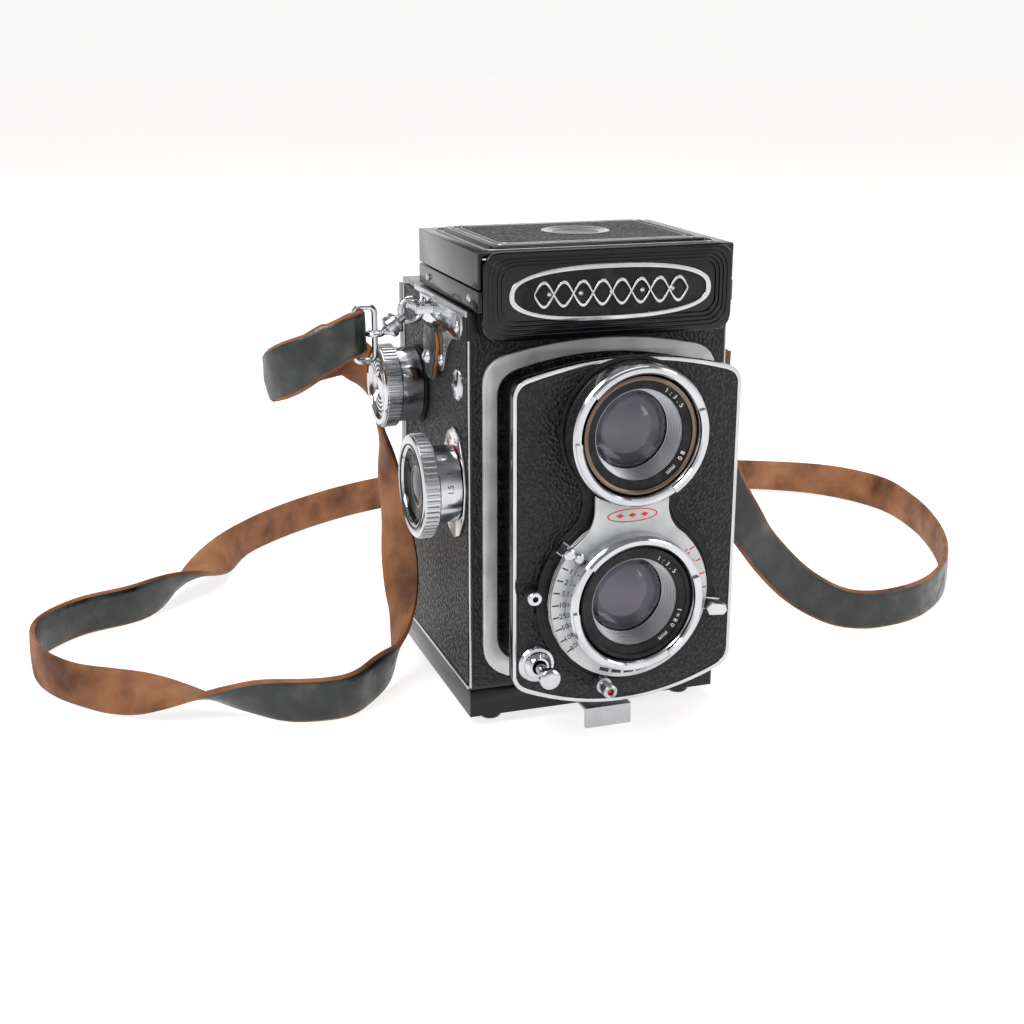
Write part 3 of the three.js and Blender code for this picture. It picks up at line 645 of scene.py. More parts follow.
def eye_place(end):
    return Vector((LUG_BAR[0] + end["eye"][0], LUG_BAR[1], LUG_BAR[2] + end["eye"][1]))


def torus(major, minor, axis, place):
    profile = [(major + minor * math.cos(t), minor * math.sin(t)) for t in
               [2 * math.pi * i / 12 for i in range(12)]]
    return turned(profile + profile[:1], axis, place, 40)


def mirrored(mesh, side):
    """The mesh as it is for the right side, and turned over in X for the left."""
    if side > 0:
        return mesh
    bm = as_bmesh(mesh)
    bmesh.ops.scale(bm, verts=bm.verts, vec=(-1, 1, 1))
    return closed(bm)


def snap_hook(label):
    end = STRAP_ENDS[label]
    tilt = Matrix.Rotation(math.radians(end["tilt"]), 4, "Y")
    barrel = turned([(0, 3.7), (1.2, 3.7), (1.4, 5.3), (2.5, 5.7), (2.9, 6.1), (2.9, 6.8), (2.6, 7), (2.6, 7.3),
                     (2.95, 7.5), (2.95, 8.6), (2.6, 9), (1.7, 9.4), (1, 10.2), (0.9, 10.5), (0, 10.5)],
                    "x", (0, 0, 0), 48)
    ball = turned([(1.25 * math.sin(t), -2.4 - 1.25 * math.cos(t)) for t in
                   [math.pi * i / 10 for i in range(11)]], "x", (0, 0, 0), 24)
    ring = torus(2.9, 0.8, "y", (1.2, 0, 0))
    hook = joined(barrel, ball, ring)
    hook.transform(tilt)
    eye = torus(1.9, 0.7, end["eye_axis"], (end["eye"][0], 0, end["eye"][1]))
    whole = joined(hook, eye)
    whole.transform(Matrix.Translation(LUG_BAR))
    return keep(f"snap_hook_{label}_polished", mirrored(whole, end["side"]), "camera_body", CHROME,
                (f"snap_hook_{label}",))


def wire_loop(label):
    """A rounded rectangle of wire, which carries the strap on its outer bar."""
    end = STRAP_ENDS[label]
    curve = bpy.data.curves.new("work", "CURVE")
    curve.dimensions = "3D"
    curve.bevel_depth = LOOP_WIRE
    curve.bevel_resolution = 3
    outline_spline(curve, [eye_place(end) + end["loop_out"] * u + end["loop_up"] * v for u, v in
                           rounded((0, -LOOP_LENGTH / 2), (LOOP_DEPTH, LOOP_LENGTH / 2), 1.6, 5)])
    wire = closed(as_bmesh(evaluated(curve)))
    return keep(f"wire_loop_{label}", mirrored(wire, end["side"]), "camera_body", CHROME,
                (f"strap_ring_{label}",))


def strap_fold(label, reach, tip):
    """The strap's end: it goes round the wire loop's outer bar and lies back over the strap."""
    end, steps = STRAP_ENDS[label], 6
    mirror = Matrix.Diagonal((end["side"], 1, 1))
    bar_place = mirror @ (eye_place(end) + end["loop_out"] * LOOP_DEPTH)
    if label == "left":
        line, sides, grain = strap_line, strap_sides_at, 1
    else:
        line, sides, grain = strap_line[::-1], strap_sides_at[::-1], -1
    points, across = [], []
    for i in range(reach, -1, -2):
        normal = ahead_at(line, i).cross(sides[i]) * grain
        lift = 2.5 + 1.3 * math.sin(math.pi * i / reach)
        points.append(line[i] + normal * lift)
        across.append(-sides[i] * grain)
    inward = (bar_place - line[0]).normalized()
    axis = mirror @ end["loop_up"]
    axis = axis if axis.dot(across[-1]) > 0 else -axis
    normal = (normal - inward * normal.dot(inward)).normalized()
    points += [bar_place + offset for offset in (normal * 2.0, inward * 2.0, -normal * 2.0)]
    points.append(line[0] - normal * 1.2)
    across += [axis] * 4
    fine = smooth_route(points, steps)
    last, end_side = len(fine) - 1, len(across) - 1
    turns = [across[min(i // steps, end_side)].lerp(across[min(i // steps + 1, end_side)], (i % steps) / steps)
             for i in range(len(fine))]
    widths = [min(1.0, tip + (1.7 - tip) * (6 * i / last) ** 0.6)         # from the tip to its full width
              * (1 + 0.16 * math.sin(math.pi * min(1, 1.7 * i / last)))   # a leaf's swell
              * (0.92 if i > 0.75 * last else 1.0)                        # narrowed to pass the wire
              for i in range(len(fine))]
    return keep(f"strap_fold_{label}", band(fine, turns, widths), "camera_body", STRAP_OUT,
                smooth=STRAP_SMOOTH)


strap, strap_line, strap_sides_at, strap_length = neck_strap()
strap_pieces = [make(label) for label in ("left", "right") for make in (snap_hook, wire_loop)]
strap_pieces += [strap_fold("left", 22, 0.35), strap_fold("right", 14, 0.6)]
print("strap and its fittings made")

# %% [markdown]
# ## What repeats
#
# Knurls, scale marks, ribs and screws are one small shape repeated round a circle or along a
# row. Geometry Nodes does the repeating: the shape is the object's own mesh, and the inputs
# say how many, how far out and over what angle.

# %% Repeating trees


def socket_id(tree, name):
    return next(item.identifier for item in tree.interface.items_tree if item.name == name)


def start_tree(name, inputs):
    tree = bpy.data.node_groups.new(name, "GeometryNodeTree")
    tree.interface.new_socket("Geometry", in_out="INPUT", socket_type="NodeSocketGeometry")
    for label, kind in inputs:
        tree.interface.new_socket(label, in_out="INPUT", socket_type=kind)
    tree.interface.new_socket("Result", in_out="OUTPUT", socket_type="NodeSocketGeometry")
    return tree, tree.nodes.new("NodeGroupInput"), tree.nodes.new("NodeGroupOutput")


def end_tree(tree, given, result, instances):
    real = add_node(tree, "GeometryNodeRealizeInstances", Geometry=instances)
    feed(tree, result.inputs["Result"],
         add_node(tree, "GeometryNodeSetMaterial", Geometry=real, Material=given.outputs["Material"]))
    return tree


def maths(tree, operation, *values):
    node = tree.nodes.new("ShaderNodeMath")
    node.operation = operation
    for socket, value in zip(node.inputs, values):
        feed(tree, socket, value)
    return node.outputs[0]


def ring_tree():
    """Repeats the shape round +Z: Count of them at Radius, from Start over Sweep (radians)."""
    tree, given, result = start_tree("repeat_round_a_shaft", (
        ("Count", "NodeSocketInt"), ("Radius", "NodeSocketFloat"), ("Start", "NodeSocketFloat"),
        ("Sweep", "NodeSocketFloat"), ("Material", "NodeSocketMaterial")))
    count, radius, start, sweep = (given.outputs[name] for name in ("Count", "Radius", "Start", "Sweep"))
    step = maths(tree, "DIVIDE", sweep, count)
    angle = maths(tree, "ADD", start, maths(tree, "MULTIPLY", add_node(tree, "GeometryNodeInputIndex"), step))
    place = add_node(tree, "ShaderNodeCombineXYZ",
                     X=maths(tree, "MULTIPLY", radius, maths(tree, "COSINE", angle)),
                     Y=maths(tree, "MULTIPLY", radius, maths(tree, "SINE", angle)))
    points = add_node(tree, "GeometryNodePoints", Count=count)
    circle_points = add_node(tree, "GeometryNodeSetPosition", Geometry=points, Position=place)
    return end_tree(tree, given, result, add_node(
        tree, "GeometryNodeInstanceOnPoints", Points=circle_points, Instance=given.outputs["Geometry"],
        Rotation=add_node(tree, "ShaderNodeCombineXYZ", Z=angle)))


def row_tree():
    """Repeats the shape along a straight row: Count of them, each a Step from the last."""
    tree, given, result = start_tree("repeat_along_a_row", (
        ("Count", "NodeSocketInt"), ("Step", "NodeSocketVector"), ("Material", "NodeSocketMaterial")))
    line = add_node(tree, "GeometryNodeMeshLine", Count=given.outputs["Count"], Offset=given.outputs["Step"])
    return end_tree(tree, given, result, add_node(
        tree, "GeometryNodeInstanceOnPoints", Points=line, Instance=given.outputs["Geometry"]))


RING_TREE, ROW_TREE = ring_tree(), row_tree()


def repeated(shape, tree, **inputs):
    def add(holder):
        modifier = holder.modifiers.new("repeat", "NODES")
        modifier.node_group = tree
        for name, value in inputs.items():
            modifier[socket_id(tree, name)] = value
    return evaluated(shape, add)


def round_a_shaft(shape, count, radius, material, start=0, sweep=360):
    return repeated(shape, RING_TREE, Count=count, Radius=float(radius), Start=math.radians(start),
                    Sweep=math.radians(sweep), Material=material)


def along(shape, count, step, material):
    return repeated(shape, ROW_TREE, Count=count, Step=step, Material=material)


def bar(x, y, z, bevel=0.0):
    """A small bar centred on the origin, with its edges softened."""
    bm = bmesh.new()
    bmesh.ops.create_cube(bm, size=1)
    bmesh.ops.scale(bm, verts=bm.verts, vec=(x, y, z))
    if bevel:
        bmesh.ops.bevel(bm, geom=bm.edges, offset=bevel, segments=1, affect="EDGES")
    return closed(bm)


def screw_head(radius, rise):
    """A domed screw with its slot, facing +Z."""
    dome = [(0, rise), (radius * 0.5, rise * 0.93), (radius * 0.85, rise * 0.6), (radius, 0.1), (radius, -0.1),
            (0, -0.1)]
    head = turned(dome, "z", (0, 0, 0), 24)
    slot = bar(radius * 1.5, radius * 0.24, 0.08)
    slot.transform(Matrix.Translation((0, 0, rise * 0.93)))
    return joined(head, slot)


print("repeating trees:", RING_TREE.name, "and", ROW_TREE.name)

# %% Figures


def figures(text, size, material, facing, place, turn=0):
    """Plain dial figures, thin enough to be paint, with their middle at a place."""
    data = bpy.data.curves.new("work", "FONT")
    data.body = text
    data.size = size
    data.align_x = "CENTER"
    data.align_y = "CENTER"
    data.extrude = 0.03
    data.resolution_u = 2
    mesh = painted(evaluated(data), material)
    mesh.transform(Matrix.Translation(place) @ facing @ Matrix.Rotation(math.radians(turn), 4, "Z"))
    return mesh


def figures_round(texts, radius, size, material, start, step, centre, front, outward):
    """Figures set round a lens axis in front view, their feet towards the middle."""
    meshes = []
    for i, text in enumerate(texts):
        angle = start + step * i
        a = math.radians(angle)
        place = (centre[0] + radius * math.cos(a), front, centre[1] + radius * math.sin(a))
        turn = angle - 90 if outward else angle + 180
        meshes.append(figures(text, size, material, FRONT, place, turn))
    return joined_painted(meshes, material)


print("figures ready")

# %% [markdown]
# ## The body
#
# The body is a pressed and cast box, stoved glossy black. Thin leather is glued into shallow
# fields on its sides, front and back. Bright metal shows where hands have rubbed the edges.

# %% Castings and trim
BODY_HALF, BODY_FRONT, BACK_FACE = 34.25, -30.0, 35.02
softened("body_shell", "body_casting", "camera_body", ENAMEL, 0.5)
softened("back_door", "back_casting", "back", ENAMEL, 0.5)
softened("face_frame", "face_frame_lacquered", "camera_body", GREY, 0.3)


def body_leathers():
    skin, sunk = 0.25, 0.02
    field = rounded((-28.4, 11.8), (29.2, 107.2), 1.2)
    for label, side, facing in SIDES:
        outline = [(-side * u, v) for u, v in field]
        leather = flat([outline], skin, 0.08, facing, (side * (BODY_HALF + sunk), 0, 0))
        keep(f"side_leather_{label}", leather, "camera_body", LEATHER)
    front = flat([rounded((-33.3, 11.6), (33.3, 101.8), 1), shield(4.4, 3)], skin, 0.08, FRONT,
                 (0, BODY_FRONT - sunk, 0))
    keep("front_leather", front, "camera_body", LEATHER)
    window_field = rounded((-22.6, 29.9), (9.4, 49.9), 1)
    back = flat([rounded((-33, 8.5), (33, 104.5), 2), window_field], skin, 0.08, BACK, (0, BACK_FACE, 0))
    keep("back_leather", back, "back", LEATHER)


def body_trims():
    for label, side, _ in SIDES:
        x = side * (BODY_HALF + 0.3)
        foot = moved(bar(0.5, 58, 0.9, 0.12), TOP, (x, -0.4, 11.1))
        upright = moved(bar(0.5, 0.8, 95.5, 0.12), TOP, (x, 28.4, 58.9))
        rail = moved(bar(0.6, 46.5, 1.5, 0.15), TOP, (x, -6.4, 108.0))
        keep(f"side_trim_{label}", joined(foot, upright, rail), "camera_body", SATIN)
        corner = turned([(0, 11.2), (0.34, 11.2), (0.34, 101.6), (0, 101.6)], "z",
                        (side * (BODY_HALF - 0.16), BODY_FRONT + 0.16, 0), 12)
        keep(f"worn_corner_{label}", corner, "camera_body", SATIN)


body_leathers()
body_trims()
print("body, leathers and trims made")

# %% Small fittings on the body's sides


def side_fittings():
    disc = turned([(0, 1.1), (1.1, 1.1), (1.6, 0.85), (3.2, 0.75), (3.9, 0.3), (4, 0), (0, 0)], "z",
                  (0, 0, 0), 64)
    slot = moved(bar(3.0, 0.45, 0.2), TOP, (0, 0, 1.15))
    keep("side_disc", moved(joined(disc, slot), LEFT, (-34.5, -21.9, 89.2)), "camera_body", CHROME)
    for label, side, facing in SIDES:
        row = along(screw_head(1.1, 0.5), 2, (side * 36.0, 0, 0), CHROME)
        keep(f"hood_screws_{label}", moved(row, facing, (side * 33.2, -27.5, 111.6)), "camera_body", CHROME)


side_fittings()
for node, material in (("light_chamber", MATT), ("reflex_mirror", MIRROR), ("mirror_frame", DARK_CAST),
                       ("focusing_screen", SCREEN), ("film_roller_upper", SATIN), ("film_roller_lower", SATIN),
                       ("back_hinge_pin", SATIN), ("pressure_plate", MATT), ("red_window", RED_WINDOW),
                       ("shutter_blades", DARK_CAST), ("take_up_spool", DARK_CAST), ("magnifier_lens", GLASS),
                       ("tripod_socket", SATIN)):
    coat(node, material)
softened("tripod_plate", "tripod_plate_worn", "back", SATIN, 0.3)
softened("window_cover", "window_cover_enamelled", "window_cover", ENAMEL, 0.3)
softened("back_latch", "back_latch_plated", "back_latch", SATIN, 0.25)
for number in range(1, 5):
    softened(f"foot_{number}", f"foot_{number}_enamelled", "back", ENAMEL, 0.4)
print("fittings made")

# %% [markdown]
# ## The lens board
#
# The whole front plate slides out to focus. It is enamelled, with a bright rim round a field
# of leather. Over that lie the black surround, shaped like a figure eight, and the shutter's
# light grey plate, whose waist runs in soft curves up to the viewing lens.

# %% Waisted outlines
TAKING, VIEWING = 39.9, 81.9
FACE = -49.1


def waist(low_radius, high_radius, fillet):
    """Two discs joined by a waist whose sides are arcs that touch both."""
    gap = VIEWING - TAKING
    low_reach, high_reach = low_radius + fillet, high_radius + fillet
    rise = (gap ** 2 + low_reach ** 2 - high_reach ** 2) / (2 * gap)
    side = math.sqrt(low_reach ** 2 - rise ** 2)
    low_angle = math.degrees(math.atan2(rise, side))
    high_angle = math.degrees(math.atan2(rise - gap, side))
    right = arc((0, TAKING), low_radius, -90, low_angle, 36)
    right += arc((side, TAKING + rise), fillet, 180 + low_angle, 180 + high_angle, 16)[1:]
    right += arc((0, VIEWING), high_radius, high_angle, 90, 36)[1:]
    return right + [(-u, v) for u, v in reversed(right[1:-1])]


def shutter_outline(radius, neck, fillet, crown):
    """The shutter plate: a disc whose neck runs up to the viewing lens's ring."""
    side = neck + fillet
    rise = math.sqrt((radius + fillet) ** 2 - side ** 2)
    angle = math.degrees(math.atan2(rise, side))
    top = VIEWING - math.sqrt(crown ** 2 - neck ** 2)
    right = arc((0, TAKING), radius, -90, angle, 40)
    right += arc((side, TAKING + rise), fillet, 180 + angle, 180, 12)[1:]
    right += [(neck, top)]
    spread = math.degrees(math.asin(neck / crown))
    under = arc((0, VIEWING), crown, -90 + spread, -90 - spread, 16)[1:-1]
    return right + under + [(-u, v) for u, v in reversed(right[1:])]


# %% Board, rim, leather and surround
softened("lens_board", "lens_board_enamelled", "lens_unit", ENAMEL, 0.3)
keep("board_rim", flat([shield(0.05, 3.5), shield(0.95, 3)], 0.4, 0.14, FRONT, (0, FACE + 0.1, 0)),
     "lens_unit", CHROME)
keep("board_leather", flat([shield(1.1, 2.8), waist(22.9, 17.4, 9)], 0.28, 0.08, FRONT, (0, FACE - 0.01, 0)),
     "lens_unit", LEATHER)
EYE = 14.5                     # radius of the holes that the lens mounts fill
eyes = [circle(EYE, (0, z)) for z in (TAKING, VIEWING)]
surround = flat([waist(23.6, 18, 9)] + eyes, 0.7, 0.22, FRONT, (0, -49.35, 0))
hubs = [turned([(EYE, -51.6), (r - 0.3, -51.6), (r, -51.3), (r, -49.9), (EYE, -49.9), (EYE, -51.6)], "y",
               (0, 0, z)) for r, z in ((18.4, TAKING), (17.0, VIEWING))]
keep("surround_black", joined(surround, *hubs), "lens_unit", MATT, ("lens_surround",))
keep("surround_edge", flat([waist(22.3, 17.5, 9.6), waist(21.95, 17.2, 9.9)], 0.3, 0.1, FRONT, (0, -50.0, 0)),
     "lens_unit", ENAMEL)
speed_plate = flat([shutter_outline(20.7, 9.6, 9, 17.9), circle(14.6, (0, TAKING))], 0.8, 0.2, FRONT,
                   (0, -51.9, 0))
keep("shutter_plate_lacquered", speed_plate, "lens_unit", GREY, ("shutter_plate",))
print("lens board made")

# %% Marks on the shutter plate


MARK_FRONT, MARK_THICK, ORNAMENT = -52.72, 0.06, 61.3
SPEEDS = ("B", "1", "2", "5", "10", "25", "50", "100", "300")
STOPS = ("22", "16", "11", "8", "5.6", "3.5")


def scale(name, values, ticks, radius, size, ink_used, start, step, outward):
    """A scale round the taking lens: ticks (length, radius, sweep), with figures beside them."""
    length, tick_radius, sweep = ticks
    lines = round_a_shaft(bar(length, 0.34, MARK_THICK), len(values), tick_radius, ink_used, start, sweep)
    words = figures_round(values, radius, size, ink_used, start, step, (0, TAKING), MARK_FRONT - 0.02, outward)
    marks = joined_painted([moved(lines, FRONT, (0, MARK_FRONT, TAKING)), words], ink_used)
    keep(name, marks, "lens_unit", ink_used)


def ornaments():
    badge = flat([circle(6.6, (0, ORNAMENT), 64, 0.26), circle(6.25, (0, ORNAMENT), 64, 0.235)], 0.1, 0.02, FRONT,
                 (0, MARK_FRONT + 0.04, 0))
    square = moved(bar(1.5, 1.5, MARK_THICK), Matrix.Rotation(math.radians(45), 4, "Z"), (0, 0, 0))
    lozenges = along(square, 3, (3.2, 0, 0), RED_INK)
    lozenges.transform(Matrix.Diagonal((1, 0.55, 1, 1)))
    keep("waist_ornament", joined_painted([badge, moved(lozenges, FRONT, (-3.2, MARK_FRONT, ORNAMENT))], RED_INK),
         "lens_unit", RED_INK)
    foot_bars = round_a_shaft(bar(0.9, 2.6, MARK_THICK), 5, 19.15, BLACK_INK, 250, 50)
    keep("foot_ornament", moved(foot_bars, FRONT, (0, MARK_FRONT, TAKING)), "lens_unit", BLACK_INK)


scale("speed_marks", SPEEDS, (1.7, 19.6, 84), 17.9, 1.9, BLACK_INK, 142, 9.33, False)
scale("stop_marks", STOPS, (1.5, 19.7, 66), 18.0, 1.7, RED_INK, -20, 11, True)
ornaments()
print("scales marked")

# %% [markdown]
# ## The lenses
#
# Each lens sits in a black cell with a filter bayonet round it. The bayonet is a turned ring
# whose lip is cut into three lugs. Inside, a barrel of fine steps leads down to coated glass.
# Behind the glass a dark disc is painted as the shaded inside of the lens, with violet patches
# painted as the coating's reflection.

# %% Bayonets, cells and glass


def lens_turned(profile, z):
    return turned(profile, "y", (0, 0, z), LENS_ROUND)


def bayonet(prefix, z, back):
    ring = lens_turned([(14.6, back), (16.4, back), (17.3, back - 0.8), (17.3, -56.9), (16.9, -57.35),
                        (16.2, -57.5), (15.3, -57.2), (14.9, -56.6), (14.6, -56.0), (14.6, back)], z)
    lug = [(15.1, -57.2), (16.5, -57.2), (16.9, -57.5), (16.9, -58.1), (16.5, -58.4), (15.5, -58.4),
           (15.1, -58.0), (15.1, -57.2)]
    lugs = [turned(lug, "y", (0, 0, z), LENS_ROUND, start, 78) for start in (62, 182, 302)]
    keep(f"{prefix}_bayonet_polished", joined(ring, *lugs), "lens_unit", CHROME, (f"{prefix}_bayonet",))


def lens_cell(prefix, z):
    """The black cell: a name ring in front, then fine steps down to the glass."""
    front = -56.4
    steps = []
    for i in range(9):
        radius, y = 11.0 - 0.13 * i, front + 1.1 + 0.62 * i
        steps += [(radius, y), (radius - 0.05, y + 0.42), (radius - 0.22, y + 0.5)]
    shell = lens_turned([(12.4, -44), (12.4, FACE), (14.2, FACE - 0.4), (14.2, front + 0.3), (13.9, front),
                         (13.3, front), (13.2, front + 0.35), (11.3, front + 0.75), (11.2, front + 1.1),
                         (11.9, -50), (11.9, -44), (12.4, -44)], z)
    keep(f"{prefix}_cell_black", shell, "lens_unit", MATT, (f"{prefix}_cell",))
    barrel = lens_turned(steps + [(9.7, -49.8), (11.0, -49.6), (11.1, front + 1.1), steps[0]], z)
    keep(f"{prefix}_barrel_steps", barrel, "lens_unit", BARREL)
    worn = lens_turned([(13.35, front + 0.2), (14.0, front + 0.05), (14.35, front - 0.25), (13.9, front - 0.4),
                        (13.35, front - 0.1), (13.35, front + 0.2)], z)
    keep(f"{prefix}_worn_ring", worn, "lens_unit", WORN_RING if prefix == "viewing" else MATT)


def glass_pair(prefix, z):
    """The domed front glass, with a dark pool painted as the lens's inner shade and the bright inner ring behind
    it.
    """
    radius, edge, crown = 9.55, -49.4, -52.6
    dome = [(radius * t, crown + (edge - crown) * t * t) for t in [i / 12 for i in range(13)]]
    front = lens_turned(dome + [(radius, -48.6), (0, -48.6)], z)
    keep(f"{prefix}_front_glass", front, "lens_unit", GLASS, (f"{prefix}_lens",))
    # painted shade: this dark disc behind the glass is painted as the lens's shaded inside
    pool = lens_turned([(0, -46.4), (5.5, -46.7), (8.4, -47.4), (9.4, -48.3), (9.4, -46), (0, -46)], z)
    keep(f"{prefix}_painted_inner_shade", pool, "lens_unit", DEPTH)
    ring = lens_turned([(8.7, -48.3), (9.1, -48.5), (9.5, -48.3), (9.5, -47.8), (8.7, -47.8), (8.7, -48.3)], z)
    keep(f"{prefix}_glass_retainer", ring, "lens_unit", SATIN)


def cell_figures(prefix, z, words):
    """Figures on the name ring, letter by letter: each word is given with its middle angle."""
    step = -6.6
    meshes = []
    for word, middle in words:
        start = middle - step * (len(word) - 1) / 2
        meshes += [figures_round([letter], 12.3, 1.75, WHITE_INK, start + step * i, 0, (0, z), -55.95, True)
                   for i, letter in enumerate(word) if letter != " "]
    keep(f"{prefix}_cell_figures", joined_painted(meshes, WHITE_INK), "lens_unit", WHITE_INK)


bayonet("viewing", VIEWING, -51.9)
bayonet("taking", TAKING, -53.0)
for prefix, z in (("viewing", VIEWING), ("taking", TAKING)):
    lens_cell(prefix, z)
    glass_pair(prefix, z)
cell_figures("viewing", VIEWING, (("1:3.5", 45), ("80 mm", -38)))
cell_figures("taking", TAKING, (("1:3.5", 48), ("f=80 mm", -35)))
print("lenses made")

# %% Levers and release
RELEASE, FLASH = (-23.2, 0, 24.2), (-6.5, 0, 17.6)


def round_lens(angle, radius, y):
    a = math.radians(angle)
    return (radius * math.cos(a), y, TAKING + radius * math.sin(a))


def lever_knob(angle, radius, back, front, size):
    profile = [(0, front), (size * 0.7, front), (size, front + 0.35), (size, front + 1.3),
               (size * 0.7, front + 1.5), (size * 0.6, back), (0, back)]
    return turned(profile, "y", round_lens(angle, radius, 0), 32)


def levers():
    softened("speed_ring", "speed_ring_plated", "speed_lever", SATIN, 0.15)
    pair = joined(lever_knob(141, 22.1, -52, -56.2, 1.5), lever_knob(139, 18.9, -52.9, -55.4, 1.3))
    keep("speed_knobs", pair, "speed_lever", CHROME)
    softened("aperture_ring", "aperture_ring_plated", "aperture_lever", SATIN, 0.15)
    pointer = flat([[(-2.0, -1.7), (1.9, -1.2), (2.6, 0), (1.9, 1.2), (-2.0, 1.7), (-3.2, 0)]], 0.9, 0.25,
                   FRONT)
    angle = 11.7
    turn = Matrix.Rotation(math.radians(angle), 4, "Y")
    keep("aperture_pointer", moved(pointer, turn, round_lens(-angle, 23.2, -54.6)), "aperture_lever", CHROME)
    softened("cocking_lever", "cocking_lever_plated", "cocking_lever", MATT, 0.1)
    eye = turned([(0.75, -54.9), (1.5, -54.9), (1.75, -54.6), (1.75, -54), (0.75, -54), (0.75, -54.9)], "y",
                 round_lens(172.6, 25.7, 0), 32)
    keep("cocking_eye", eye, "cocking_lever", CHROME)


def release_and_flash():
    collar = turned([(1.9, -49.3), (4.6, -49.3), (4.7, -49.7), (4.3, -50.2), (3.6, -50.4), (3.4, -51.0),
                     (2.7, -51.5), (2.4, -51.9), (1.9, -51.9), (1.9, -49.3)], "y", RELEASE, 64)
    keep("release_collar_turned", collar, "lens_unit", CHROME, ("release_collar",))
    button = turned([(0, -60.2), (1.2, -60.4), (2.2, -60.1), (2.6, -59.6), (2.6, -58.4), (2.2, -58.0),
                     (1.4, -57.6), (1.4, -45), (0, -45)], "y", RELEASE, 48)
    keep("release_button_turned", button, "release_button", CHROME, ("release_button",))
    post = turned([(0, -56.2), (0.75, -56.2), (0.9, -57.3), (1.3, -57.5), (1.75, -57.1), (1.75, -55.0),
                   (1.5, -54.8), (1.5, -53.2), (2.0, -53.0), (2.2, -50.4), (0, -50.4)], "y", FLASH, 48)
    keep("flash_post", post, "lens_unit", SATIN, ("flash_socket",))
    core = turned([(0, -56.7), (0.6, -56.6), (0.7, -56.2), (0, -56.2)], "y", FLASH, 24)
    keep("flash_core", core, "lens_unit", RED_INK)


levers()
release_and_flash()
print("levers and release made")

# %% [markdown]
# ## The knobs
#
# A winding knob is turned on a lathe and then knurled. The ridges are one small rounded bar,
# repeated round the rim. The face has concentric steps, which is what makes rings of light.

# %% Knobs
FOCUS, ADVANCE, SUPPLY = (-19.5, 63.5), (14.7, 82.2), (-15.8, 17.2)      # their shafts, in Y and Z


def knurl(count, radius, length, middle, centre):
    ridge = bar(0.62, 0.8, length, 0.16)
    ridges = round_a_shaft(ridge, count, radius, SATIN)
    across = Matrix.Rotation(math.radians(90), 4, "Y")
    return moved(ridges, across, (middle, *centre))


def focus_knob():
    centre = (0, *FOCUS)
    recess = [(8.8 - 0.55 * i, -42.9 - 0.1 * (i % 2) + 0.03 * i) for i in range(11)]
    profile = [(0, -43.6), (1.6, -43.5)] + recess[::-1]
    profile += [(9.2, -43.6), (9.4, -45.6), (9.9, -46.2), (12.4, -46.3), (12.9, -46.0), (12.9, -42.3),
                (12.3, -41.9), (9.8, -41.8), (9.8, -35.75), (2.8, -35.75), (2.8, -29), (0, -29)]
    keep("focus_knob_turned", turned(profile, "x", centre), "focus_knob", CHROME, ("focus_knob",))
    keep("focus_knurl", knurl(54, 12.95, 3.3, -44.1, FOCUS), "focus_knob", SATIN)
    grooves = [(8.6 - 0.32 * i, -44.75 - 0.16 * (i % 2)) for i in range(11)]
    dish = turned([(0, -45.35), (2.0, -45.25), (3.8, -45.0), (4.9, -44.7)] + grooves[::-1] +
                  [(9.0, -45.2), (9.3, -45.75), (9.36, -45.3), (9.3, -43.2), (0, -43.2)], "x", centre)
    keep("focus_dish", dish, "focus_knob", ENAMEL)
    line = turned([(10.5, -46.45), (10.8, -46.45), (10.8, -46.2), (10.5, -46.2), (10.5, -46.45)], "x", centre)
    keep("focus_face_line", line, "focus_knob", BLACK_INK)
    meters = []
    up = Vector((-1, 0, 0))
    for i, number in enumerate(("1", "1.5", "2", "3", "5", "10")):
        angle = math.radians(150 + 24 * i)
        out = Vector((0, math.cos(angle), math.sin(angle)))
        turn = Matrix((up.cross(out), up, out)).transposed().to_4x4()
        place = Vector((-38.6, *FOCUS)) + out * 9.82
        meters.append(figures(number, 2.1, BLACK_INK, turn, place))
    keep("focus_figures", joined_painted(meters, BLACK_INK), "focus_knob", BLACK_INK)


def index_plate():
    softened("focus_index_plate", "index_plate_plated", "camera_body", CHROME, 0.15)
    marks = []
    for i, number in ((0, "22"), (1, "11"), (2, "5.6"), (4, "5.6"), (5, "11"), (6, "22")):
        angle = math.radians(38 + 17.5 * i)
        y, z = FOCUS[0] + 8.3 * math.cos(angle) * 0.93, FOCUS[1] + 11.9 * math.sin(angle)
        marks.append(figures(number, 1.7, RED_INK, LEFT, (-35.32, y, z)))
    keep("index_figures", joined_painted(marks, RED_INK), "camera_body", RED_INK)


def advance_knob():
    centre = (0, *ADVANCE)
    rings = []
    for i in range(4):
        r = 8.3 - 1.2 * i
        rings += [(r, -45.1), (r - 0.35, -45.5), (r - 0.8, -45.5), (r - 1.0, -45.1)]
    profile = [(0, -45.5), (2.2, -45.45)] + rings[::-1]
    profile += [(8.7, -45.4), (9.1, -46.2), (10.4, -46.3), (10.9, -45.9), (10.9, -41.8), (10.4, -41.5),
                (10, -41.3), (10, -35.85), (2.8, -35.85), (2.8, -32.7), (0, -32.7)]
    tongue = moved(bar(3, 2, 4.8), TOP, (-31.5, *ADVANCE))
    knob = joined(turned(profile, "x", centre), tongue)
    keep("advance_knob_turned", knob, "film_advance", CHROME, ("advance_knob",))
    keep("advance_knurl", knurl(56, 10.9, 3.7, -43.8, ADVANCE), "film_advance", SATIN)
    softened("advance_collar", "advance_collar_black", "camera_body", MATT, 0.15)


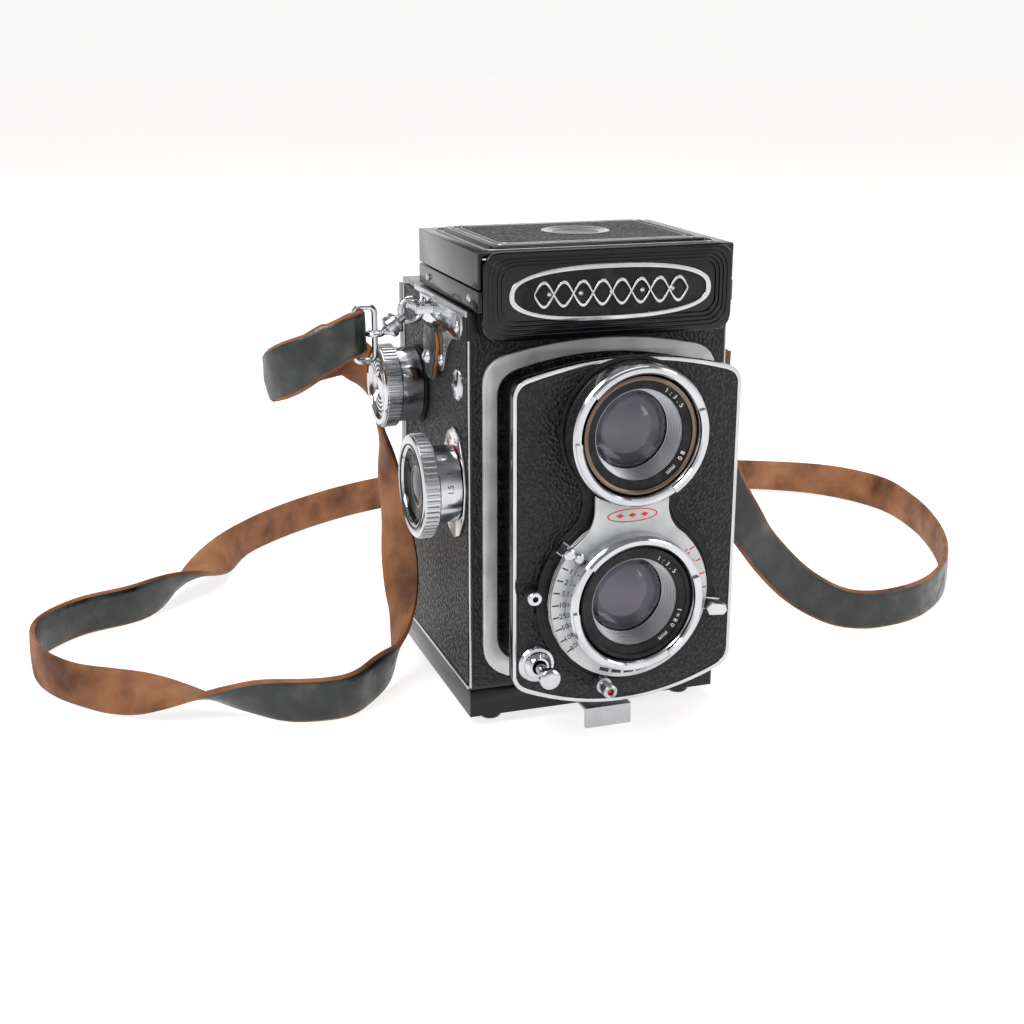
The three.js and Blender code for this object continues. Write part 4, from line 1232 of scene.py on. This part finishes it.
def spool_knobs():
    profile = [(0, 29.5), (2.2, 29.5), (2.2, 34.6), (5.5, 34.6), (5.7, 35), (5.7, 38.5), (5.2, 39.3),
               (2, 39.5), (0, 39.4)]
    for label, (y, z) in (("upper", ADVANCE), ("lower", SUPPLY)):
        knob = f"spool_knob_{label}"
        keep(f"{knob}_turned", turned(profile, "x", (0, y, z)), knob, CHROME, (knob,))
        keep(f"spool_knurl_{label}", knurl(36, 5.65, 3, 36.8, (y, z)), knob, SATIN)


focus_knob()
index_plate()
advance_knob()
spool_knobs()
print("knobs made")

# %% [markdown]
# ## The hood and its name plate
#
# The hood is folded sheet metal under glossy enamel. Stepped frames run round its lid, with a
# leather field and a round sighting disc in the middle. The plate in front has stepped curves
# at each end and an oval badge, which here carries a plain pattern.

# %% Hood
SIGHTING = (1.5, -7.5)
LID_MIDDLE = -8.6
BADGE = 113.0


def hood():
    softened("hood_base", "hood_base_enamelled", "camera_body", ENAMEL, 0.25)
    softened("hood_lid", "hood_lid_enamelled", "hood_lid", ENAMEL, 1.6)
    frames = []
    for inset, level in ((3.0, 123.15), (6.4, 123.9), (8.2, 123.9)):
        low, high = (-33.2 + inset, -34.6 + inset), (33.2 - inset, 17.4 - inset)
        inner = [(u - math.copysign(0.45, u), v - math.copysign(0.45, v - LID_MIDDLE)) for u, v in (low, high)]
        frames.append(flat([rounded(low, high, 3), rounded(*inner, 2.6)], 0.35, 0.1, TOP, (0, 0, level)))
    keep("lid_frame_lines", joined(*frames), "hood_lid", SATIN)
    field = rounded((-24.2, -25.6), (24.2, 8.4), 1.6)
    keep("lid_leather", flat([field, circle(8.9, SIGHTING)], 0.25, 0.07, TOP, (0, 0, 123.97)), "hood_lid",
         LEATHER)
    disc = turned([(0, 123.95), (5.2, 123.97), (6.6, 124.02), (7.6, 124.3), (8.3, 124.45), (8.8, 124.3),
                   (8.8, 123.9), (0, 123.9)], "z", (*SIGHTING, 0))
    keep("sighting_disc", disc, "hood_lid", CHROME)
    for label in ("side_left", "side_right", "back_panel"):
        softened(f"hood_{label}", f"hood_{label}_enamelled", f"hood_{label}", MATT, 0.12)
    softened("magnifier_frame", "magnifier_frame_black", "hood_lid", MATT, 0.15)


def name_plate():
    softened("name_plate", "name_plate_enamelled", "camera_body", ENAMEL, 0.8)
    steps = []
    for i in range(4):
        low, high = (-31.2 + 1.05 * i, 103.2 + 1.05 * i), (31.2 - 1.05 * i, 122.7 - 0.8 * i)
        inner = (low[0] + 0.5, low[1] + 0.5), (high[0] - 0.5, high[1] - 0.5)
        corner = 5.2 - 0.4 * i
        steps.append(flat([rounded(low, high, corner), rounded(*inner, corner - 0.4)], 0.35, 0.15, FRONT,
                          (0, -36.3 - 0.06 * i, 0)))
    keep("name_plate_steps", joined(*steps), "camera_body", ENAMEL)
    outer = circle(26.2, (0, BADGE), 128, 0.262, 2.5)
    inner = circle(24.9, (0, BADGE), 128, 0.227, 2.5)
    keep("badge_border", flat([outer, inner], 0.6, 0.2, FRONT, (0, -36.4, 0)), "camera_body", CHROME)
    keep("badge_field", flat([inner], 0.2, 0.05, FRONT, (0, -36.35, 0)), "camera_body", MATT)
    strands = []
    for phase in (0, math.pi):
        wave = [(-20 + 0.5 * i, 2.9 * math.sin(math.pi * i / 10 + phase)) for i in range(81)]
        strands.append(flat([[(u, v + 0.42) for u, v in wave] + [(u, v - 0.42) for u, v in reversed(wave)]],
                            0.3, 0.1, FRONT, (0, -36.62 - 0.05 * phase, BADGE)))
    beads = along(bar(1.1, 1.1, 0.5, 0.3), 5, (8, 0, 0), CHROME)
    pattern = joined_painted(strands + [moved(beads, FRONT, (-16, -36.6, BADGE))], CHROME)
    keep("badge_pattern", pattern, "camera_body", CHROME)


hood()
name_plate()
print("hood and name plate made")

# %% [markdown]
# ## Lugs and guards
#
# A chrome plate with three lobes is screwed under the hood on each side, and its bar carries
# the snap hook. On the strap's side a leaf of leather keeps the hook from scratching the body.

# %% Lug plates


def lugs():
    for label, side, facing in SIDES:
        softened(f"lug_plate_{label}", f"lug_plate_{label}_plated", "camera_body", CHROME, 0.2)
        heads = [moved(screw_head(1.5, 0.8), facing, (side * 35.4, y, z))
                 for y, z in ((-24.3, 104.2), (-10.2, 93.3))]
        keep(f"lug_screws_{label}", joined(*heads), "camera_body", CHROME)
        leaf = [(0, 101.5)] + arc((2.6, 96), 5.3, 100, 0, 8) + [(6.6, 92)] + arc((2.2, 91), 3.6, 0, -180, 12)
        leaf += [(-2.4, 95), (-1.8, 100)]
        outline = [(-side * v, z) for v, z in leaf]
        guard = flat([outline], 1.3, 0.35, facing, (side * 35.6, -1, 0))
        keep(f"lug_guard_{label}", guard, "camera_body", STRAP_OUT)
        edge = [(v * 1.05 + 0.1 * side, z - 0.25) for v, z in outline]
        keep(f"lug_guard_edge_{label}", flat([edge], 0.8, 0.2, facing, (side * 35.5, -1, 0)), "camera_body",
             STRAP_IN)
        rivet = turned([(0, 1.5), (0.9, 1.35), (1.6, 0.8), (1.9, 0.1), (1.9, -0.2), (0, -0.2)], "z",
                       (0, 0, 0), 32)
        keep(f"guard_rivet_{label}", moved(rivet, facing, (side * 36.8, -3.1, 93.0)), "camera_body", CHROME)


lugs()
print("lugs made")

# %% [markdown]
# ## Floor and light
#
# A wide pale floor meets a bright horizon, so the camera stands in white. The dome above is
# dimmer, because plate and enamel only look like plate and enamel when they have something
# dark to reflect beside something bright. Large soft lamps add the long highlights.

# %% Stage


def floor():
    bm = bmesh.new()
    bmesh.ops.create_grid(bm, x_segments=2, y_segments=2, size=6)
    mesh = closed(bm)
    finish = Finish("pale_floor", (0.42, 0.415, 0.41), 0.7, Specular_IOR_Level=0.1,
                    Emission_Color=(1, 0.99, 0.985, 1), Emission_Strength=0.79)
    finish.vary("Base Color", finish.noise(3, 3), (0.3, (0.40, 0.395, 0.39)), (0.7, (0.44, 0.435, 0.43)))
    mesh.materials.append(finish.material)
    sheet = bpy.data.objects.new("floor", mesh)
    bpy.context.scene.collection.objects.link(sheet)


def lamp(name, place, size, power):
    """A square soft lamp that looks at the middle of the camera."""
    data = bpy.data.lights.new(name, "AREA")
    data.size = size
    data.energy = power
    light = bpy.data.objects.new(name, data)
    light.location = place
    light.rotation_euler = (Vector((0, 0, 0.06)) - Vector(place)).to_track_quat("-Z", "Y").to_euler()
    bpy.context.scene.collection.objects.link(light)


def surround_light():
    """White at the horizon, a middle grey overhead."""
    world = bpy.data.worlds.new("studio_dome")
    bpy.context.scene.world = world
    world.use_nodes = True
    tree = world.node_tree
    height = add_node(tree, "ShaderNodeSeparateXYZ", "Z", Vector=add_node(tree, "ShaderNodeTexCoord", "Generated"))
    shades = [(place, (tone, tone * 0.99, tone * 0.985)) for place, tone in ((0.12, 0.95), (0.5, 0.26))]
    color = add_ramp(tree, height, *shades)
    color.node.color_ramp.interpolation = "EASE"
    feed(tree, tree.nodes["Background"].inputs["Color"], color)


floor()
surround_light()
lamp("key_lamp", (-0.75, -0.45, 0.95), 0.6, 9)
lamp("fill_lamp", (0.9, -0.55, 0.6), 0.7, 4)
lamp("top_lamp", (0.1, 0.35, 1.1), 0.9, 8)
bpy.context.scene.view_settings.view_transform = "Standard"
print("stage set")
